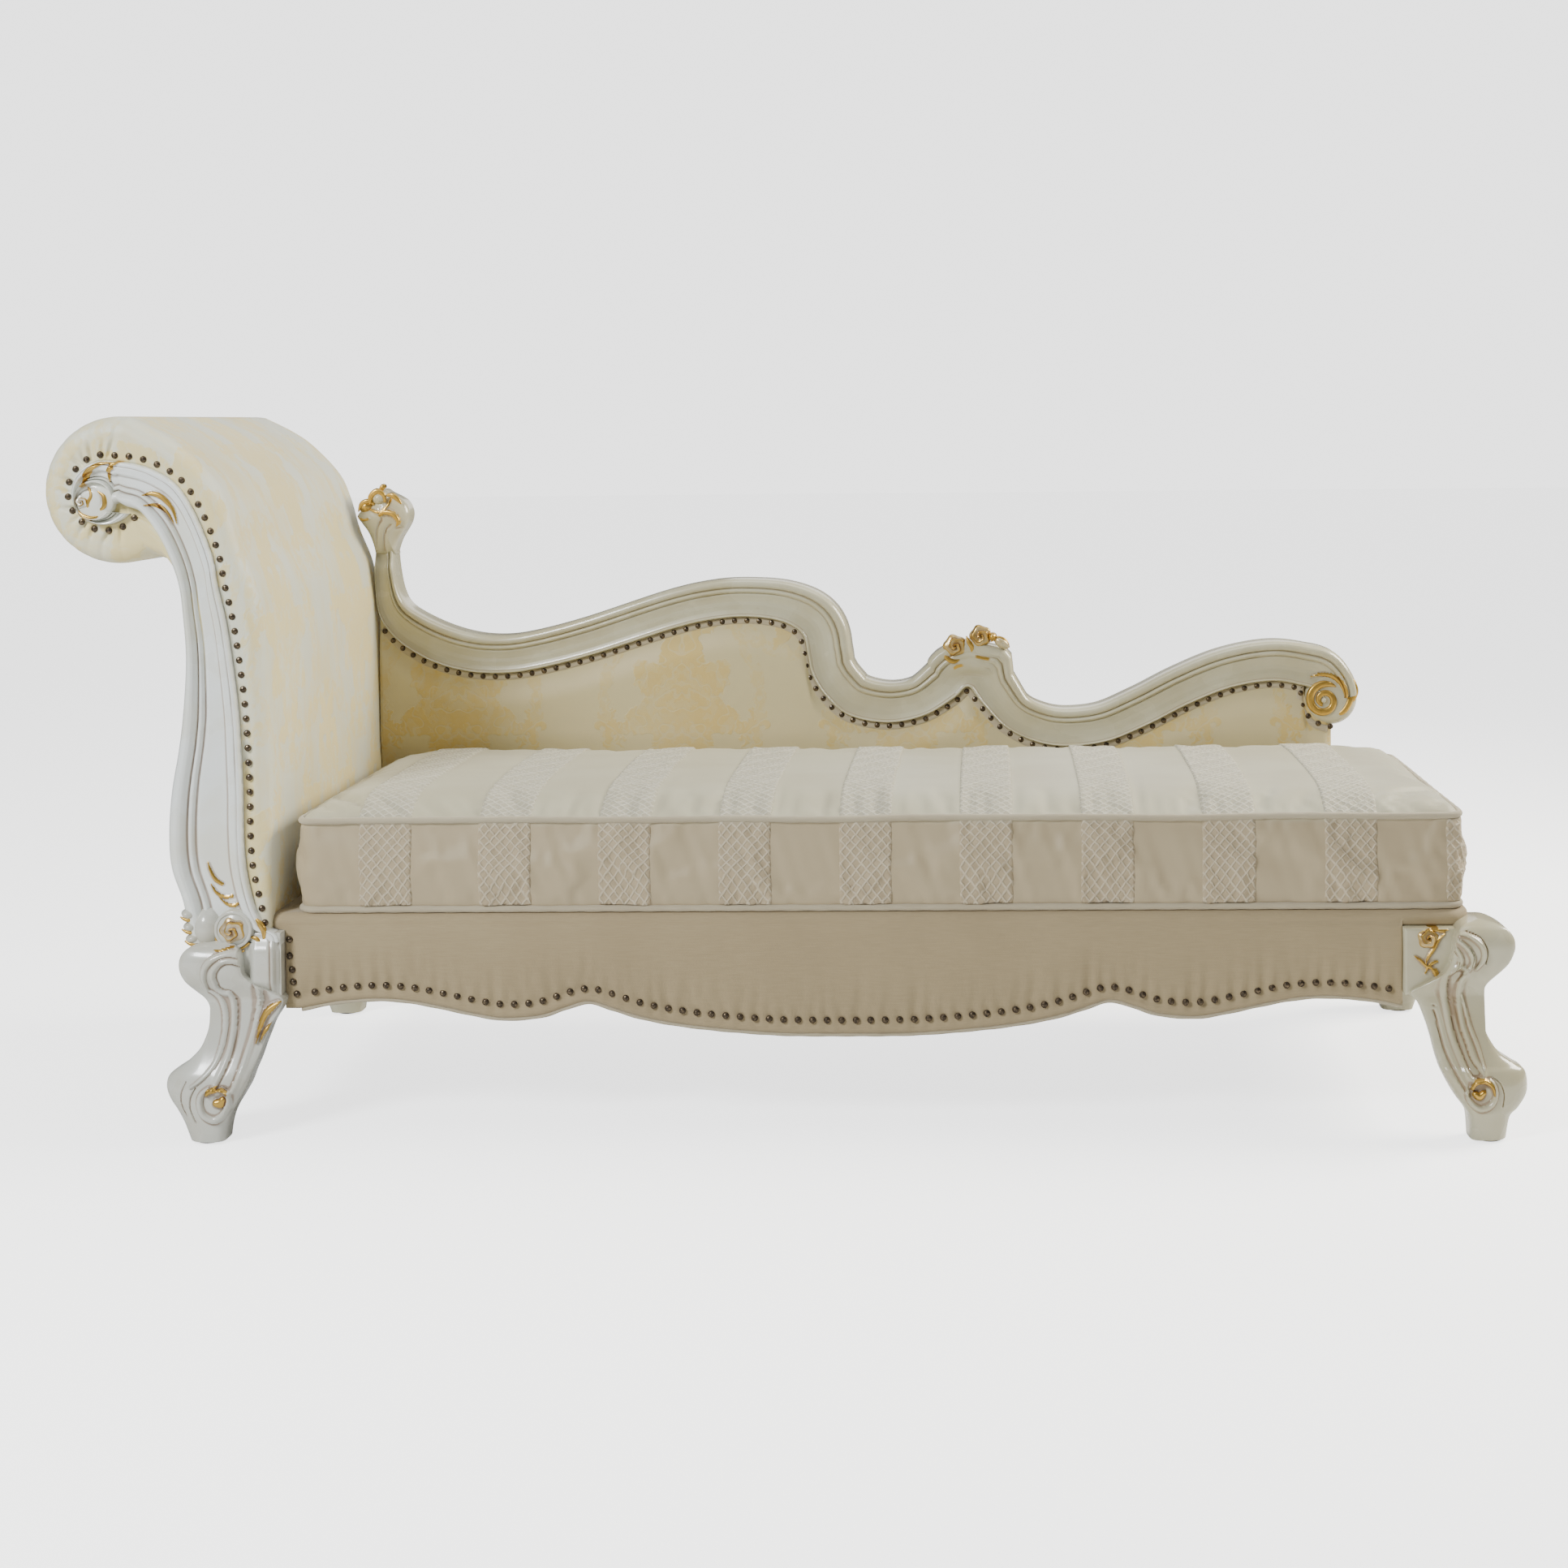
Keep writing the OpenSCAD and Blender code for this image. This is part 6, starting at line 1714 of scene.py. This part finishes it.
# The simulation runs on every second point. What it moves is kept within limits, so that the
# cushion doesn't reach its neighbours.
coarse = [top[::2, ::2], boxing[::2, ::2], bottom[::2, ::2]]
on_seam = (edge < 0.01)[::2, ::2].astype(float)
on_boxing = np.zeros(coarse[1].shape[:2])
on_boxing[:, [0, -1]] = 1
shift = blown_up(coarse, [on_seam, on_boxing, np.ones(coarse[2].shape[:2])])
limits = [np.array([4.0, 5.0, 13.0]), np.array([2.8, 2.8, 1.6])]
shift = [most * np.tanh(part / most) for most, part in zip(limits, shift)]
ring = np.concatenate([shift[1], shift[1][:1]])
top += twice(twice(shift[0], 0), 1)
boxing += twice(twice(ring, 0), 1)[:-1]
print("cloth moved the top by up to", round(float(np.abs(shift[0]).max()), 1), "mm")
seat = Shape()
seat.grid(top)
seat.grid(boxing, around=True, same=True)
seat.grid(bottom[:, ::-1], same=True)
cushion = piece(
    "seat_cushion", seat, satin, "cushion_core cushion_cover cushion_welts",
    "cushion"
)

# %% Piping along both seams
piping = Shape()
for at_bottom in (True, False):
    cord = resample(np.vstack([seam, seam[:1]]), 760)[:-1]
    if at_bottom:
        cord[:, 2] = SEAM_LOW
    cord[:, :2] += 1.5 * np.sign(cord[:, :2] - cord[:, :2].mean(0))
    tube(piping, cord, 5.0 + 0.25 * np.sin(np.arange(len(cord)) * 0.9), 10, closed=True)
piece("seat_piping", piping, piping_cloth, body="cushion")

# %% Quilted bands
# The boxing in front, the top and the boxing behind make one sheet, on which nine bands lie.
front_side = boxing[:NX - 1, 1:-1]
rear_side = boxing[NX + NY - 2:2 * NX + NY - 3][::-1, ::-1][:, 1:-1]
sheet = np.concatenate([front_side, top[:NX - 1], rear_side], 1)


def laid_on(sheet, row, column):
    """Point and normal of a grid at fractional rows and columns, by bilinear mixing."""
    i, k = np.floor(row).astype(int), np.floor(column).astype(int)
    down, over = (row - i)[..., None], (column - k)[..., None]
    normal = np.cross(np.gradient(sheet, axis=0), np.gradient(sheet, axis=1))
    normal /= np.linalg.norm(normal, axis=2)[..., None]
    return [
        (field[i, k] * (1 - down) + field[i + 1, k] * down) * (1 - over)
        + (field[i, k + 1] * (1 - down) + field[i + 1, k + 1] * down) * over
        for field in (sheet, normal)
    ]


bands = Shape()
CELL_X = (SEAT_HIGH[0] - SEAT_LOW[0]) / (NX - 1)
DIAMOND_W, DIAMOND_L = 19.5, 23.0


def quilted_band(sheet, x0, count):
    """Strip of 27 by count points over a grid, from x0 on and 1.3 mm thick. Cords stand 1.5 mm
    high where u + v or u - v is a whole number and a half: u counts diamonds across the strip,
    v counts them along its middle."""
    across = np.linspace(0, 1, 27)[:, None]
    middle = len(across) // 2
    run = np.linspace(0.0, sheet.shape[1] - 1.001, count)[None]
    row = (x0 + BAND_W * across - SEAT_LOW[0]) / CELL_X + 0 * run
    point, normal = laid_on(sheet, row, run + 0 * across)
    steps = np.linalg.norm(np.diff(point, axis=1, prepend=point[:, :1]), axis=2)
    length = np.cumsum(steps, 1)[middle:middle + 1]
    u, v = BAND_W * across / DIAMOND_W, length / DIAMOND_L
    slant = np.minimum(np.abs((u + v) % 1 - 0.5), np.abs((u - v) % 1 - 0.5))
    cord = 1 - ease(slant, 0.03, 0.2)
    edge = np.minimum(across, 1 - across) * BAND_W
    lift = (1.3 + 1.5 * cord) * ease(edge, 0, 2.5) - 0.6 * (1 - ease(edge, 0, 1.5))
    over = point + normal * lift[..., None]
    under = (point - normal * 1.5)[[-1, middle, 0]]
    close_ends(bands, bands.grid(np.concatenate([over, under], 0), around=True).T)


for number in range(9):
    quilted_band(sheet, BAND_FIRST + number * BAND_PITCH, 280)
quilted_band(boxing[:, 1:-1], BAND_FIRST + 9 * BAND_PITCH, 60)
piece("quilted_bands", bands, trellis, body="cushion")

# %% [markdown]
# ## Camera, light and floor
# The photograph was taken nearly straight from the front, at the height of the headrest's top
# and a little towards the foot end. The numbers below were solved from points of the object
# that show in the photograph. Part of the lens shift is traded for a small turn, so that
# other views with the same lens keep the whole object in their frame. The photograph has no
# horizon: floor and background are one white. So both are bright for the camera alone, and
# for all other rays the floor doesn't glow and the background gives only a weak light.

# %% Camera
CAMERA_AT = (0.2973, -3.6714, 1.0248)
YAW, PITCH, ROLL_ANGLE = np.radians([-1.489, -0.933, -0.537])
forward = np.array(
    [np.sin(YAW) * np.cos(PITCH), np.cos(YAW) * np.cos(PITCH), np.sin(PITCH)]
)
level = np.array([np.cos(YAW), -np.sin(YAW), 0.0])
upward = np.cross(level, forward)
right = level * np.cos(ROLL_ANGLE) + upward * np.sin(ROLL_ANGLE)
top = upward * np.cos(ROLL_ANGLE) - level * np.sin(ROLL_ANGLE)
pose = Matrix.Identity(4)
for row in range(3):
    pose[row][0], pose[row][1], pose[row][2] = right[row], top[row], -forward[row]
    pose[row][3] = CAMERA_AT[row]
camera = bpy.data.objects.new("camera", bpy.data.cameras.new("camera"))
camera.data.lens = 53.36
camera.data.sensor_width = 36.0
camera.data.shift_x = -0.09
camera.data.shift_y = -0.2067
camera.matrix_world = pose
bpy.context.scene.collection.objects.link(camera)
bpy.context.scene.camera = camera
print("camera at", CAMERA_AT)


# %% Light
def softbox(name, at, towards, size, power, colour):
    """Square area light aimed at a point: its local -Z axis follows the line to it."""
    lamp = bpy.data.objects.new(name, bpy.data.lights.new(name, "AREA"))
    lamp.data.size = size
    lamp.data.energy = power
    lamp.data.color = colour
    back = np.array(at, float) - np.array(towards, float)
    back /= np.linalg.norm(back)
    side = np.cross((0.0, 0.0, 1.0), back)
    side /= np.linalg.norm(side)
    turn = np.stack([side, np.cross(back, side), back], 1)
    lamp.matrix_world = Matrix.Translation(at) @ Matrix(turn.tolist()).to_4x4()
    bpy.context.scene.collection.objects.link(lamp)


softbox("key_light", (-2.4, -3.0, 2.9), (-0.2, 0.0, 0.5), 1.1, 185.0, (0.94, 0.97, 1.0))
softbox("fill_light", (2.8, 0.5, 2.2), (-0.8, 0.0, 0.6), 1.5, 170.0, (1.0, 0.96, 0.86))
softbox("top_light", (0.2, 0.0, 3.2), (0.0, 0.1, 0.4), 2.0, 28.0, (0.98, 1.0, 1.0))
softbox("rear_light", (0.5, 3.4, 2.4), (0.0, 0.2, 0.5), 2.4, 28.0, (1.0, 0.99, 0.97))

# %% Background and floor
world = bpy.data.worlds.new("studio")
world.use_nodes = True
sky = world.node_tree
sky.nodes["Background"].inputs[0].default_value = (0.97, 0.98, 1.0, 1)
sky.nodes["Background"].inputs[1].default_value = 0.19
backdrop = sky.nodes.new("ShaderNodeBackground")
backdrop.inputs[0].default_value = (1.0, 1.0, 1.0, 1)
backdrop.inputs[1].default_value = 2.6
seen = sky.nodes.new("ShaderNodeLightPath")
choice = sky.nodes.new("ShaderNodeMixShader")
sky.links.new(seen.outputs["Is Camera Ray"], choice.inputs[0])
sky.links.new(sky.nodes["Background"].outputs[0], choice.inputs[1])
sky.links.new(backdrop.outputs[0], choice.inputs[2])
sky.links.new(choice.outputs[0], sky.nodes["World Output"].inputs[0])
bpy.context.scene.world = world

floor_finish = Finish("studio_floor", {"Roughness": 0.7, "Emission Strength": 2.3})
floor_tint = floor_finish.noise(floor_finish.point(), 2.0)
floor_finish.feed(
    "Base Color", floor_finish.mix((0.86, 0.86, 0.85, 1), (0.88, 0.88, 0.87, 1), floor_tint)
)
seen_floor = floor_finish.node("ShaderNodeLightPath", out="Is Camera Ray")
floor_finish.feed("Emission Color", floor_finish.mix((0, 0, 0, 1), (1, 1, 1, 1), seen_floor))
floor_mesh = bpy.data.meshes.new("studio_floor")
floor_mesh.from_pydata(
    [(-30, -30, 0), (30, -30, 0), (30, 30, 0), (-30, 30, 0)], [], [(0, 1, 2, 3)]
)
floor_mesh.materials.append(floor_finish.material)
floor = bpy.data.objects.new("studio_floor", floor_mesh)
bpy.context.scene.collection.objects.link(floor)
